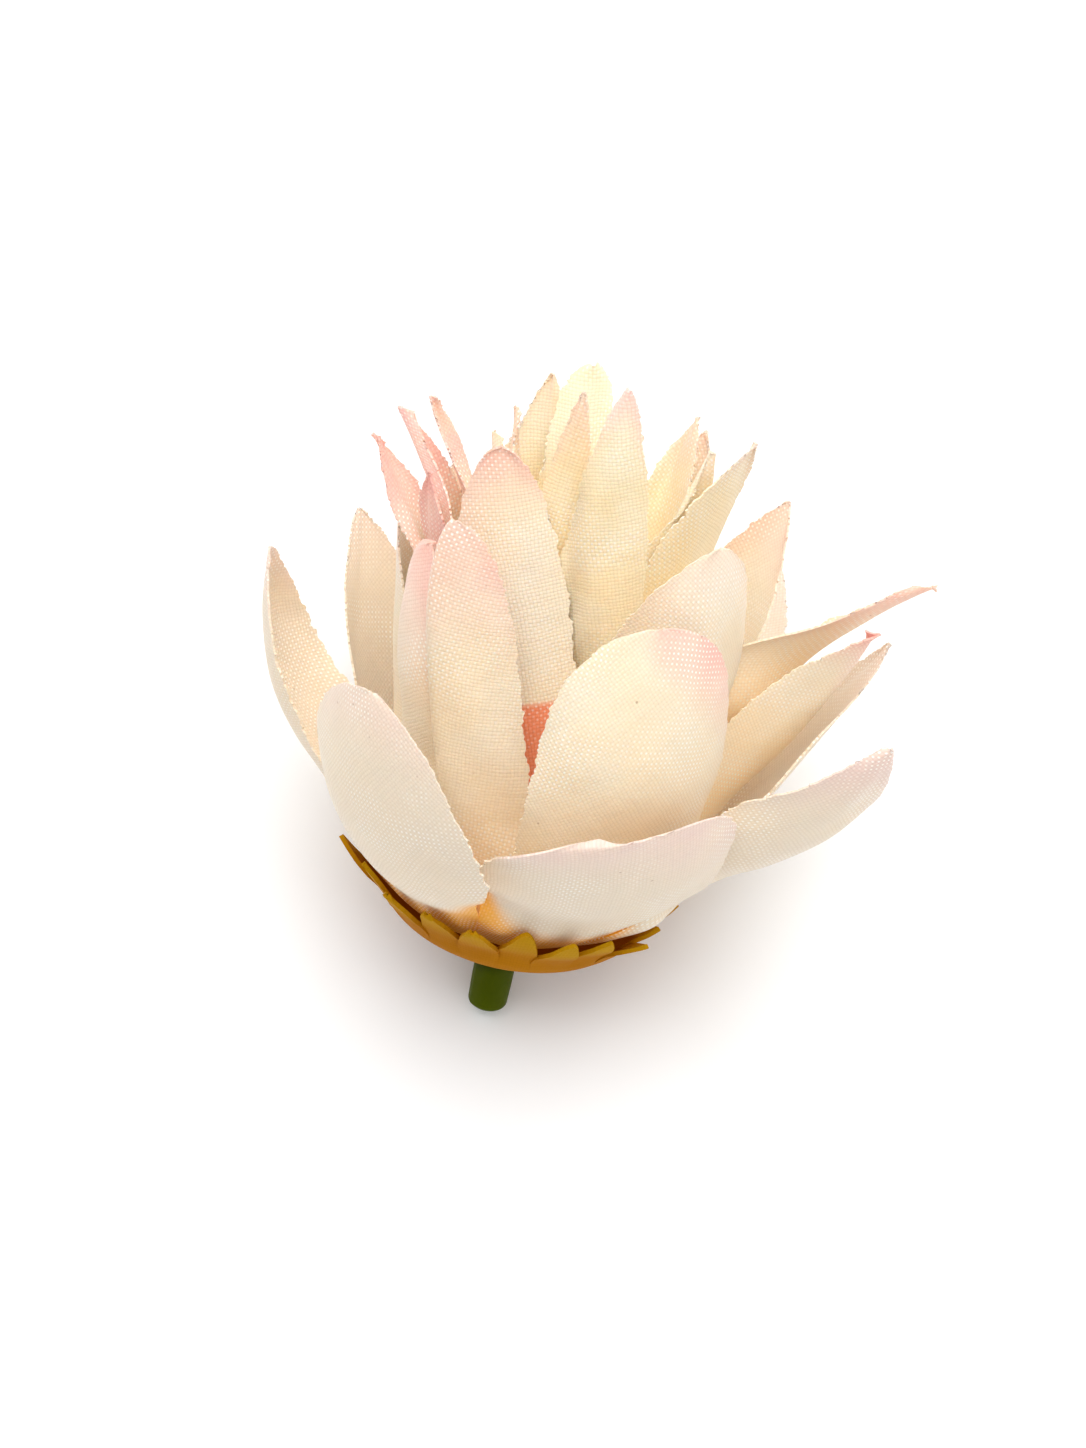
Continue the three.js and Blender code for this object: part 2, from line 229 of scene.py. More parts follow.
@dataclass(frozen=True)
class Cut:
    """One layer of petals round a disc."""

    name: str
    disc: tuple[float, float]
    joined: float
    rise: float
    stretch: float
    gap: float
    blades: tuple[Blade, ...]
    one_cloth: bool = True

    def by_azimuth(self) -> list[Blade]:
        """The blades in order round the disc."""
        return sorted(self.blades, key=lambda blade: blade.start)

    def gaps_after(self) -> list[float]:
        """Angle from each blade to the next, in radians."""
        blades = self.by_azimuth()
        following = blades[1:] + blades[:1]
        return [math.radians((b.start - a.start) % 360) for a, b in zip(blades, following)]


OUTER = Cut(
    name="petals_outer",
    disc=(5.0, 2.2),
    joined=0.42,
    rise=24,
    stretch=0.27,
    gap=1.15,
    blades=(
        Blade(236.6, (32.4, 234.8, 42.6), 15.8, 36, 92, blunt=0.57, twist=-13.6, pull=0.53, web=0.13,
              dye=Dye(0.5, 0.8, -0.3, 0.05, ochre_to=0.49)),
        Blade(282, (30.8, 292.7, 32.3), 16.6, 25, 78, blunt=1.37, twist=23.7, pull=0.39, bow=1.9,
              dye=Dye(0.7, 0.72, 0.6, 0.05, ochre_to=0.49)),
        Blade(328, (40.5, 338.1, 42.9), 10.8, 36, 72, twist=-17.6, pull=0.5, bow=0.2,
              dye=Dye(0.8, 0.75, 0, 0.3, ochre_to=0.34)),
        Blade(60, (48, 59, 35.5), 11, 36, 44, dye=Dye(0.5, 0.75, 0, 0.3, ochre_to=0.34)),
        Blade(145, (36, 139, 40), 9.5, 42, 66, dye=Dye(0.3, 0.75, 0, 0.3, ochre_to=0.34)),
        Blade(184, (35, 177.4, 43.1), 7.8, 52, 88.5, blunt=0.55, twist=-8, pull=0.51,
              dye=Dye(0.7, 0.86, 0, 0.2, ochre_to=0.34)),
        Blade(13, (38, 13, 44), 10, 40, 65, twist=-10, dye=Dye(0.4, 0.75, 0, 0.3, ochre_to=0.34)),
        Blade(108, (48, 109, 35.5), 11, 36, 44, dye=Dye(0.5, 0.75, 0, 0.3, ochre_to=0.34)),
    ),
)
SECOND = Cut(
    name="petals_second",
    disc=(4.4, 3.25),
    joined=0.34,
    rise=24,
    stretch=0.3,
    gap=1.15,
    blades=(
        Blade(304, (21.7, 296.5, 53.4), 13, 41.6, 113, blunt=1, twist=-0.6, pull=0.46,
              dye=Dye(0.75, 0.84, 1.0, 0.7, 1.1)),
        Blade(257, (19.8, 224.4, 58.4), 7.8, 39, 95.6, blunt=0.7, twist=2.3, pull=0.41, bow=2,
              dye=Dye(0.6, 0.68, -0.2, 0.35, 0.55),
              folds=(Fold(-0.3, 72, 0.08),)),
        Blade(331, (34.7, 0.6, 49), 10.1, 21, 66, blunt=0.13, twist=-34.4, pull=0.51, bow=0.3,
              dye=Dye(0.8, 0.8, 0.5, 1.0, 1.3)),
        Blade(90, (31, 90, 52), 11, 50, 72),
        Blade(175, (25, 152, 50), 9.5, 50, 78),
        Blade(215, (18.5, 205, 52.1), 11.6, 45.5, 106.5, blunt=0.5, twist=-3.3, pull=0.45, bow=-2.8,
              dye=Dye(0.6, 0.62, 0, 0.6, 0.7)),
        Blade(42, (32.5, 46, 52.5), 9, 50, 72, dye=Dye(0.4, 0.75, 0, 0.8, 0.9)),
        Blade(132, (26, 130, 51), 9.5, 50, 78),
    ),
)
THIRD = Cut(
    name="petals_third",
    disc=(3.8, 4.3),
    joined=0.3,
    rise=28,
    stretch=0.28,
    gap=1.15,
    one_cloth=False,
    blades=(
        Blade(274, (12.4, 207.9, 64.4), 6.8, 33, 96.7, twist=-7, pull=0.38, blunt=0.6, bow=4.6,
              dye=Dye(0.7, 0.8, -0.4, 0.45, 0.7, 0.6)),
        Blade(316, (16.5, 330, 59), 11, 40, 104, blunt=0.6, dye=Dye(0.2, 0.8, 0, 0.5, 0.8)),
        Blade(11, (40.7, 8.8, 53.2), 8.3, 42, 41, twist=-5.5, pull=0.37, bow=-0.5,
              dye=Dye(0.6, 0.75, 0, 1.0, 1.3)),
        Blade(170, (25, 170, 58.5), 7, 50, 62, twist=-30, flick=2, dye=Dye(0.8, 0.62, 0, 0.7, 0.8)),
        Blade(222, (19, 186, 58), 8, 50, 80, dye=Dye(0.9, 0.6, 0, 0.7, 0.8)),
        Blade(60, (24, 62, 60), 9, 50, 80, dye=Dye(0.3, 0.8, 0, 0.8, 0.9)),
        Blade(116, (24, 112, 58), 9, 50, 80, dye=Dye(0.3, 0.8, 0, 0.8, 0.9)),
    ),
)
FOURTH = Cut(
    name="petals_fourth",
    disc=(3.3, 5.35),
    joined=0.25,
    rise=36,
    stretch=0.26,
    gap=1.4,
    one_cloth=False,
    blades=(
        Blade(286, (6, 283, 74), 7.2, 30, 97, dye=Dye(0.8, 0.85, 0, 0.35, 0.6)),
        Blade(340, (18, 24, 65.5), 8.5, 40, 70, twist=-20, dye=Dye(0.3, 0.85, 0, 0.95, 1.1)),
        Blade(180, (22.5, 169, 62.5), 6.6, 50, 62, twist=-36, flick=2, dye=Dye(0.8, 0.6, 0, 0.6, 0.8)),
        Blade(226, (19, 166, 65), 6.4, 40, 68, twist=-30, flick=2, dye=Dye(0.8, 0.6, 0, 0.6, 0.8)),
        Blade(35, (26, 46, 60), 7.5, 50, 72, dye=Dye(0.6, 0.75, 0, 0.9, 1)),
        Blade(85, (20, 112, 64), 7, 50, 84, dye=Dye(0.2, 0.8, 0, 0.9, 1)),
        Blade(132, (18, 135, 58), 7, 50, 80, dye=Dye(0.2, 0.8, 0, 0.9, 1)),
    ),
)
INNER = Cut(
    name="petals_inner",
    disc=(2.9, 6.4),
    joined=0.2,
    rise=46,
    stretch=0.24,
    gap=1.8,
    one_cloth=False,
    blades=(
        Blade(262, (4.6, 221, 71.5), 4.2, 26, 88, dye=Dye(0.5, 0.8, 0, 0.8, 1)),
        Blade(85, (19, 100, 66.5), 5.2, 60, 86, blunt=0.9, dye=Dye(0.0, 0.8, 0, 0.8, 1)),
        Blade(40, (20, 60, 63), 7, 50, 80, dye=Dye(0.4, 0.8, 0, 0.9, 1)),
        Blade(152, (11, 168, 66), 3.6, 30, 85, dye=Dye(0.5, 0.8, 0, 0.9, 1)),
        Blade(330, (17.5, 30, 63.5), 7, 50, 80, dye=Dye(0.2, 0.8, 0, 0.9, 1)),
    ),
)


# ---- one blade as a surface ---------------------------------------------------------------------
class Surface:
    """The bent surface of a blade, as rows from the disc to the tip."""

    FINE = 41

    def __init__(self, cut: Cut, blade: Blade, sectors: tuple[float, float]) -> None:
        """Keeps the blade and the half angles to its neighbours.

        Args:
            cut: Layer of the blade.
            blade: The blade.
            sectors: Half angles before and after it, in radians.
        """
        self.cut, self.blade, self.sectors = cut, blade, sectors
        reach, azimuth, height = blade.tip
        turn = math.radians(azimuth - blade.start)
        first_lean, last_lean = math.radians(cut.rise), math.radians(blade.lean)
        start = np.array(cut.disc)
        end = np.array((reach * math.cos(turn), height))
        chord = float(np.hypot(*(end - start)))
        first = start + cut.stretch * chord * np.array((math.cos(first_lean), math.sin(first_lean)))
        last = end - blade.pull * chord * np.array((math.cos(last_lean), math.sin(last_lean)))
        self.poles = np.array((start, first, last, end))
        self.sideways = reach * math.sin(turn)

    def midrib(self, u: np.ndarray) -> np.ndarray:
        """Points of the midrib: radius, sideways shift and height.

        Args:
            u: Places along the blade.

        Returns:
            One row for each place.
        """
        t = np.clip(u, 0, 1)[:, None]
        a, b, c, d = self.poles
        flat = (1 - t) ** 3 * a + 3 * (1 - t) ** 2 * t * b + 3 * (1 - t) * t * t * c + t**3 * d
        late = ease((t[:, 0] - 0.15) / 0.85)
        shift = (self.sideways + self.blade.bow * 2.2 * (1 - t[:, 0])) * late
        return np.stack((flat[:, 0], shift, flat[:, 1]), 1)

    def section(self, u: np.ndarray, radius: np.ndarray, folded: bool) -> tuple[np.ndarray, np.ndarray]:
        """Cross-sections of the blade, bent in its own plane.

        Args:
            u: Places along the blade.
            radius: Radius of the midrib there.
            folded: Whether the creases are put in.

        Returns:
            Sideways and inward places for FINE steps across.
        """
        across = np.linspace(-1, 1, self.FINE)
        before, after = self.sectors
        sector = np.where(across < 0, before, after)[None, :]
        free = ease((u - 0.75 * self.cut.joined) / 0.28)[:, None]
        width = self.blade.width(u)[:, None]
        arc = blend(radius[:, None] * sector, self.blade.half * width, free)
        angle = blend(sector, math.radians(self.blade.cup) * width, free) * across[None, :]
        if folded:
            for fold in self.blade.folds:
                side = 1.0 if fold.at >= 0 else -1.0
                beyond = ease((side * (across - fold.at)) / fold.soft)[None, :]
                along = ease((u - fold.start) / 0.2) * (1 - ease((u - fold.end) / 0.2))
                angle = angle + side * math.radians(fold.turn) * beyond * along[:, None]
        step = 2 / (self.FINE - 1)
        placed = []
        for wave in (np.cos(angle), np.sin(angle)):
            speed = arc * wave
            run = np.concatenate(
                (np.zeros((len(u), 1)), np.cumsum((speed[:, 1:] + speed[:, :-1]) / 2 * step, 1)), 1
            )
            placed.append(run - run[:, self.FINE // 2][:, None])
        return placed[0], placed[1]

    def grid(self, u: np.ndarray, s: np.ndarray, folded: bool = True) -> np.ndarray:
        """Points of the surface.

        Args:
            u: Places along the blade, from 0 to 1.
            s: Places across it, from -1 to 1.
            folded: Whether the creases are put in.

        Returns:
            Array of rows, columns and x, y, z.
        """
        spine = self.midrib(u)
        tangent = self.midrib(u + 1e-3) - self.midrib(u - 1e-3)
        tangent /= np.linalg.norm(tangent, axis=1)[:, None]
        inward = np.cross(tangent, np.array((0.0, 1.0, 0.0)))
        inward /= np.linalg.norm(inward, axis=1)[:, None]
        across = np.cross(inward, tangent)
        held = 0.6 * self.cut.joined
        turn = (math.radians(self.blade.twist) * ease((u - held) / (1 - held)))[:, None]
        side = across * np.cos(turn) + inward * np.sin(turn)
        face = inward * np.cos(turn) - across * np.sin(turn)
        sideways, depth = self.section(u, spine[:, 0], folded)
        fine = np.linspace(-1, 1, self.FINE)
        x = np.array([np.interp(s, fine, row) for row in sideways])
        y = np.array([np.interp(s, fine, row) for row in depth])
        flick = self.blade.flick * ease((u - 0.74) / 0.26) ** 2
        y = y - flick[:, None]
        local = spine[:, None] + side[:, None] * x[..., None] + face[:, None] * y[..., None]
        azimuth = math.radians(self.blade.start)
        cos, sin = math.cos(azimuth), math.sin(azimuth)
        return np.stack(
            (
                local[..., 0] * cos - local[..., 1] * sin,
                local[..., 0] * sin + local[..., 1] * cos,
                local[..., 2],
            ),
            -1,
        )


class Room:
    """Radius left free round the pin, by height and azimuth."""

    AROUND = 120
    HEIGHTS = 60
    STEP = 1.5

    def __init__(self) -> None:
        """Starts with no limit."""
        self.limit = np.full((self.HEIGHTS, self.AROUND), np.inf)

    def cells(self, points: np.ndarray) -> tuple[np.ndarray, np.ndarray]:
        """Row and column of each point.

        Args:
            points: Array whose last axis is x, y, z.

        Returns:
            The rows and the columns.
        """
        turn = np.arctan2(points[..., 1], points[..., 0]) / (2 * np.pi)
        column = np.floor((turn - np.floor(turn)) * self.AROUND).astype(int) % self.AROUND
        row = np.clip(np.floor(points[..., 2] / self.STEP).astype(int), 0, self.HEIGHTS - 1)
        return row, column

    def place(self, grid: np.ndarray, first: int = 0) -> None:
        """Takes up the room of a surface.

        Args:
            grid: Rows and columns of points.
            first: First row that counts.
        """
        part = grid[first:]
        t = np.linspace(0, 1, 7)
        a, b = t[:, None, None], t[None, :, None]
        low, low_next = part[:-1, :-1, None, None], part[:-1, 1:, None, None]
        high, high_next = part[1:, :-1, None, None], part[1:, 1:, None, None]
        dense = blend(blend(low, low_next, a), blend(high, high_next, a), b)
        row, column = self.cells(dense)
        radius = np.hypot(dense[..., 0], dense[..., 1])
        for up in (-1, 0, 1):
            for on in (-1, 0, 1):
                inside = (row + up >= 0) & (row + up < self.HEIGHTS)
                where = ((row + up)[inside], (column + on)[inside] % self.AROUND)
                np.minimum.at(self.limit, where, radius[inside])

    def settle(self, grid: np.ndarray, first: int, gap: float) -> np.ndarray:
        """Moves a surface towards the pin until it clears what is placed.

        Args:
            grid: Rows and columns of points.
            first: First row that may move.
            gap: Radial room to keep.

        Returns:
            The moved grid.
        """
        radius = np.hypot(grid[..., 0], grid[..., 1])
        allowed = np.maximum(LEAST_R, self.limit[self.cells(grid)] - gap)
        push = np.maximum(0, radius - allowed)
        push[:first] = 0
        for _ in range(2):
            padded = np.pad(push, 1)
            beside = np.maximum.reduce(
                (padded[1:-1, :-2], padded[1:-1, 2:], padded[:-2, 1:-1], padded[2:, 1:-1])
            )
            push = np.maximum(push, SHARE * beside)
            push[:first] = 0
        target = np.maximum(np.minimum(LEAST_R, radius), radius - push)
        moved = grid.copy()
        moved[..., :2] *= (target / radius)[..., None]
        return moved


# ---- meshes ------------------------------------------------------------------------------------
def grid_object(name: str, points: np.ndarray, flat: np.ndarray, dye: np.ndarray) -> bpy.types.Object:
    """A grid primitive bent to the given points.

    Args:
        name: Name of the new object.
        points: Rows and columns of flower-frame millimetres.
        flat: The same points on the flat cloth, in millimetres.
        dye: Four dye strengths at each point.

    Returns:
        The object, with its flat places as UVs and its dyes as an attribute.
    """
    rows, columns = points.shape[:2]
    bpy.ops.object.select_all(action="DESELECT")
    bpy.ops.mesh.primitive_grid_add(x_subdivisions=columns - 1, y_subdivisions=rows - 1, size=2)
    piece = bpy.context.object
    piece.name = piece.data.name = name
    mesh = piece.data
    start = np.empty(len(mesh.vertices) * 3)
    mesh.vertices.foreach_get("co", start)
    start = start.reshape(-1, 3)
    row = np.rint((start[:, 1] + 1) / 2 * (rows - 1)).astype(int)
    column = np.rint((start[:, 0] + 1) / 2 * (columns - 1)).astype(int)
    mesh.vertices.foreach_set("co", REST.to_row(points[row, column]).ravel())
    corners = np.empty(len(mesh.loops), dtype=int)
    mesh.loops.foreach_get("vertex_index", corners)
    layer = mesh.uv_layers.active
    layer.name = "cloth"
    layer.data.foreach_set("uv", flat[row, column][corners].astype(np.float32).ravel())
    colours = mesh.color_attributes.new(name="dye", type="FLOAT_COLOR", domain="CORNER")
    colours.data.foreach_set("color", dye[row, column][corners].astype(np.float32).ravel())
    mesh.update()
    return piece


def join(name: str, parts: list[bpy.types.Object], weld: float = 0.0) -> bpy.types.Object:
    """Joins parts into one object.

    Args:
        name: Name of the result.
        parts: Objects to join.
        weld: Distance in millimetres below which points become one.

    Returns:
        The joined object.
    """
    bpy.ops.object.select_all(action="DESELECT")
    for part in parts:
        part.select_set(True)
    bpy.context.view_layer.objects.active = parts[0]
    if len(parts) > 1:
        bpy.ops.object.join()
    piece = bpy.context.object
    piece.name = piece.data.name = name
    if weld:
        bpy.ops.object.mode_set(mode="EDIT")
        bpy.ops.mesh.select_all(action="SELECT")
        bpy.ops.mesh.remove_doubles(threshold=weld * MM)
        bpy.ops.object.mode_set(mode="OBJECT")
    return piece


def thicken(piece: bpy.types.Object, thickness: float, inner_slot: int = 0) -> None:
    """Gives a surface its thickness, half to each side.

    Args:
        piece: Open surface.
        thickness: Thickness in millimetres.
        inner_slot: Material slots to go up for the side that faces the pin.
    """
    bpy.context.view_layer.objects.active = piece
    solidify = piece.modifiers.new("thickness", "SOLIDIFY")
    solidify.thickness = thickness * MM
    solidify.offset = 0.0
    solidify.material_offset = inner_slot
    bpy.ops.object.modifier_apply(modifier=solidify.name)


def smooth(piece: bpy.types.Object, angle: float = 50.0) -> None:
    """Smooth shading up to an angle between faces.

    Args:
        piece: The mesh object.
        angle: The angle in degrees.
    """
    bpy.ops.object.select_all(action="DESELECT")
    piece.select_set(True)
    bpy.context.view_layer.objects.active = piece
    bpy.ops.object.shade_smooth_by_angle(angle=math.radians(angle))


def surface_normals(grid: np.ndarray) -> np.ndarray:
    """Unit normals of a grid, towards the pin."""
    along, across = np.gradient(grid, axis=0), np.gradient(grid, axis=1)
    normal = np.cross(along, across)
    return normal / np.maximum(np.linalg.norm(normal, axis=-1, keepdims=True), 1e-9)


# ---- the petals --------------------------------------------------------------------------------
@dataclass
class PetalLayer:
    """One layer of cloth petals."""

    cut: Cut
    finish: "ClothFinish"
    seed: int
    rows: int = 190
    columns: int = 25
    disc_rows: int = 4
    thickness: float = 0.24
    wrinkle: float = 0.2
    fray: float = 0.22
    pieces: list[bpy.types.Object] = field(default_factory=list)
    grids: list[np.ndarray] = field(default_factory=list)

    def surfaces(self) -> list[Surface]:
        """The blades' surfaces, in order round the disc.

        Returns:
            One surface for each blade.
        """
        gaps = self.cut.gaps_after()
        return [
            Surface(self.cut, blade, (gaps[i - 1] / 2, gaps[i] / 2))
            for i, blade in enumerate(self.cut.by_azimuth())
        ]

    def sewn(self, grids: list[np.ndarray], u: np.ndarray, s: np.ndarray) -> list[np.ndarray]:
        """Draws the edges of neighbours together where they are one cloth.

        Args:
            grids: Grids of the blades, in order.
            u: Places of the rows.
            s: Places of the columns.

        Returns:
            The changed grids.
        """
        count = len(grids)
        seams = [(grids[i][:, -1] + grids[(i + 1) % count][:, 0]) / 2 for i in range(count)]
        joined = [self.cut.joined + blade.web for blade in self.cut.by_azimuth()]
        holds = [1 - ease((u - share) / 0.14) for share in joined]
        sewn = []
        for i, grid in enumerate(grids):
            right = (seams[i] - grid[:, -1]) * holds[i][:, None]
            left = (seams[i - 1] - grid[:, 0]) * holds[i - 1][:, None]
            pulled = np.where((s < 0)[None, :, None], left[:, None], right[:, None])
            sewn.append(grid + pulled * (np.abs(s) ** 1.5)[None, :, None])
        return sewn

    def nested(self, room: Room) -> list[np.ndarray]:
        """Finds how far each blade is pushed in by what lies round it.

        Args:
            room: Room that is left by the layers outside. This layer is placed in it.

        Returns:
            Push of each control point, for each blade in order.
        """
        u = np.linspace(0, 1, CONTROL_ROWS + 1)
        s = np.linspace(-1, 1, CONTROL_COLUMNS + 1)
        raw = self.sewn([one.grid(u, s, folded=False) for one in self.surfaces()], u, s)
        settled = [room.settle(grid, NEST_ROW, self.cut.gap) for grid in raw]
        order = self.cut.by_azimuth()
        own, free = Room(), math.floor(self.cut.joined * CONTROL_ROWS) + 1
        for blade in self.cut.blades:
            i = order.index(blade)
            settled[i] = own.settle(settled[i], free + 1, self.cut.gap)
            own.place(settled[i], free)
        for grid in settled:
            room.place(grid)
        return [after - before for after, before in zip(settled, raw)]

    def dyed(self, blade: Blade, u: np.ndarray, s: np.ndarray) -> np.ndarray:
        """Dye strengths over a blade.

        Args:
            blade: The blade.
            u: Places of the rows.
            s: Places of the columns.

        Returns:
            Four strengths at each point.
        """
        dye, u, s = blade.dye, u[:, None], s[None, :]
        masks = np.zeros((u.size, s.size, 4))
        reach = dye.tip_from + 0.07 * (1 - s * s) - 0.16 * dye.tip_side * s
        masks[..., Mask.TIP.value] = dye.tip * ease((u - reach) / np.maximum(1.02 - reach, 0.1))
        down = 1 - ease((u - 0.1) / max(dye.deep_to - 0.1, 0.1))
        masks[..., Mask.DEEP.value] = dye.deep * down * (1 - 0.5 * np.abs(s) ** 2.5)
        if dye.coral_to:
            masks[..., Mask.CORAL.value] = 1 - ease((u - dye.coral_to) / 0.012)
        if dye.ochre_to:
            edge = dye.ochre_to * (0.78 + 0.34 * np.abs(s) ** 3)
            masks[..., Mask.OCHRE.value] = 1 - ease((u - edge) / 0.12)
        return masks

    def bent(self, index: int, grid: np.ndarray, u: np.ndarray, s: np.ndarray) -> np.ndarray:
        """Adds the uneven bends of pressed cloth and a frayed edge.

        Args:
            index: Which blade it is, for its own seed.
            grid: Its points.
            u: Places of the rows.
            s: Places of the columns.

        Returns:
            The changed points.
        """
        rng = np.random.default_rng(self.seed * 100 + index)
        free = ease((u - self.cut.joined) / 0.2)[:, None] * np.ones_like(s)[None, :]
        waves = np.zeros((len(u), len(s)))
        for k in range(1, 6):
            lengthwise, crosswise = rng.uniform(0.4, 1.1) * k, rng.uniform(-0.6, 0.6) * k
            phase = rng.uniform(0, 2 * np.pi)
            waves += np.sin(2 * np.pi * (lengthwise * u[:, None] + crosswise * s / 2) + phase) / k
        ripple = np.sin(2 * np.pi * (rng.uniform(3, 5) * u + rng.uniform(0, 1)))[:, None]
        waves += ripple * np.abs(s) ** 4 * rng.uniform(0.5, 1.4)
        grid = grid + surface_normals(grid) * (self.wrinkle * free * waves)[..., None]
        spacing = np.linalg.norm(np.gradient(grid[:, len(s) // 2], axis=0), axis=-1)
        for edge, inside in ((0, 1), (-1, -2)):
            outward = grid[:, edge] - grid[:, inside]
            outward /= np.maximum(np.linalg.norm(outward, axis=1), 1e-6)[:, None]
            knots = np.arange(0, len(u) + LUMP_ROWS, LUMP_ROWS)
            lumps = np.interp(np.arange(len(u)), knots, rng.uniform(-1, 1, len(u) // LUMP_ROWS + 2))
            tooth = (lumps + rng.uniform(-0.7, 0.9, len(u))) * self.fray * np.minimum(1, spacing / 0.2)
            started = u > self.cut.joined + 0.1
            grid[:, edge] += outward * (tooth * started)[:, None]
        return grid

    def flat_places(self, blade: Blade, grid: np.ndarray) -> np.ndarray:
        """Places of the points on the uncut cloth, whose threads keep one direction.

        Args:
            blade: The blade.
            grid: Its points with the rows of the disc.

        Returns:
            Two numbers in millimetres for each point.
        """
        middle = grid[:, grid.shape[1] // 2]
        steps = np.linalg.norm(np.diff(middle, axis=0), axis=1)
        length = HOLE_R + np.concatenate(((0,), np.cumsum(steps)))
        widths = np.linalg.norm(np.diff(grid, axis=1), axis=2)
        run = np.concatenate((np.zeros((len(grid), 1)), np.cumsum(widths, 1)), 1)
        run = run - run[:, grid.shape[1] // 2][:, None]
        turn = math.radians(blade.start)
        cos, sin = math.cos(turn), math.sin(turn)
        along = np.broadcast_to(length[:, None], run.shape)
        return np.stack((along * cos - run * sin, along * sin + run * cos), -1)

    def build(self, room: Room) -> None:
        """Args:
            room: Room that is left by the layers outside.
        """
        t = np.linspace(0, 1, self.rows)
        u = 1 - (1 - t) ** TIP_CROWDING
        u[-1] = LAST_ROW
        even = np.linspace(-1, 1, self.columns)
        s = even * (1 + EDGE_CROWDING * (1 - even**2))
        raw = self.sewn([one.grid(u, s) for one in self.surfaces()], u, s)
        parts, flats = [], []
        for i, (blade, grid, push) in enumerate(zip(self.cut.by_azimuth(), raw, self.nested(room))):
            across = resample(np.swapaxes(push, 0, 1), (s + 1) / 2)
            grid = grid + resample(np.swapaxes(across, 0, 1), u)
            grid = self.bent(i, grid, u, s)
            self.grids.append(grid)
            flat, dye, grid = self.with_disc(blade, grid, u, s)
            parts.append(grid_object(f"{self.cut.name}_{i + 1}", grid, flat, dye))
            flats.append(self.flat_size(flat))
        if self.cut.one_cloth:
            whole = join(self.cut.name + "_cloth", parts, weld=0.01)
            reach = max(length for _, length, _ in flats) + HOLE_R
            sizes = [(2 * reach, 2 * reach, sum(area for _, _, area in flats))]
            self.pieces = [whole]
        else:
            self.pieces, sizes = parts, flats
        for piece, (width, length, area) in zip(self.pieces, sizes):
            piece.data.materials.append(self.finish.material())
            thicken(piece, self.thickness)
            smooth(piece)
            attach(piece, "root")
            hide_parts(self.cut.name)
            LOG.info("%s: %d faces, cut %.0f x %.0f mm", piece.name, len(piece.data.polygons), width, length)

    def with_disc(
        self, blade: Blade, grid: np.ndarray, u: np.ndarray, s: np.ndarray
    ) -> tuple[np.ndarray, np.ndarray, np.ndarray]:
        """Adds the rows of the disc between the hole and the blade's root.

        Args:
            blade: The blade.
            grid: Its points.
            u: Places of the rows.
            s: Places of the columns.

        Returns:
            Flat places, dyes and points of all rows.
        """
        root = grid[0]
        radius = np.hypot(root[:, 0], root[:, 1])
        hole = np.stack(
            (root[:, 0] / radius * HOLE_R, root[:, 1] / radius * HOLE_R, np.full(len(s), self.cut.disc[1])),
            -1,
        )
        share = np.linspace(0, 1, self.disc_rows, endpoint=False)[:, None, None]
        whole = np.concatenate((blend(hole[None], root[None], share), grid))
        dye = self.dyed(blade, np.concatenate((np.zeros(self.disc_rows), u)), s)
        return self.flat_places(blade, whole), dye, whole

    @staticmethod
    def flat_size(flat: np.ndarray) -> tuple[float, float, float]:
        """Size of a blade on the flat cloth.

        Args:
            flat: Flat places of its points.

        Returns:
            Width, never given as less than LEAST_CUT, length and area, in millimetres.
        """
        a = flat[1:, 1:] - flat[:-1, :-1]
        b = flat[:-1, 1:] - flat[1:, :-1]
        area = float(np.abs(a[..., 0] * b[..., 1] - a[..., 1] * b[..., 0]).sum() / 2)
        run = np.linalg.norm(flat[:, 0] - flat[:, -1], axis=-1)
        middle = flat[:, flat.shape[1] // 2]
        length = float(np.linalg.norm(middle[-1] - middle[0]))
        return max(LEAST_CUT, float(run.max())), length, area


# ---- the calyx -----------------------------------------------------------------------------------
class Skirt:
    """Outermost radius of the outer petals, by azimuth and height."""

    AROUND = 90
    HEIGHTS = 14
    STEP = 1.5

    def __init__(self, grids: list[np.ndarray]) -> None:
        """Measures the petals.

        Args:
            grids: Rows and columns of points of each petal.
        """
        self.reach = np.zeros((self.HEIGHTS, self.AROUND))
        for grid in grids:
            radius = np.hypot(grid[..., 0], grid[..., 1])
            turn = np.arctan2(grid[..., 1], grid[..., 0]) / (2 * np.pi)
            column = np.floor((turn - np.floor(turn)) * self.AROUND).astype(int) % self.AROUND
            row = np.floor(grid[..., 2] / self.STEP).astype(int)
            low = (row >= 0) & (row < self.HEIGHTS)
            np.maximum.at(self.reach, (row[low], column[low]), radius[low])
        for row in range(1, self.HEIGHTS):
            empty = self.reach[row] == 0
            self.reach[row][empty] = self.reach[row - 1][empty]
        sides = [np.roll(self.reach, step, axis=1) for step in (-2, -1, 0, 1, 2)]
        self.reach = sum(sides) / len(sides)

    def at(self, azimuth: np.ndarray, height: np.ndarray) -> np.ndarray:
        """Radius of the petals at the given places.

        Args:
            azimuth: Angles in radians.
            height: Heights in millimetres.

        Returns:
            Radii in millimetres.
        """
        column = (azimuth / (2 * np.pi)) % 1 * self.AROUND - 0.5
        row = np.clip(height / self.STEP - 0.5, 0, self.HEIGHTS - 1.001)
        a, b = np.floor(row).astype(int), np.floor(column).astype(int)
        across, up = column - b, row - a
        low = blend(self.reach[a, b % self.AROUND], self.reach[a, (b + 1) % self.AROUND], across)
        high = blend(self.reach[a + 1, b % self.AROUND], self.reach[a + 1, (b + 1) % self.AROUND], across)
        return blend(low, high, up)


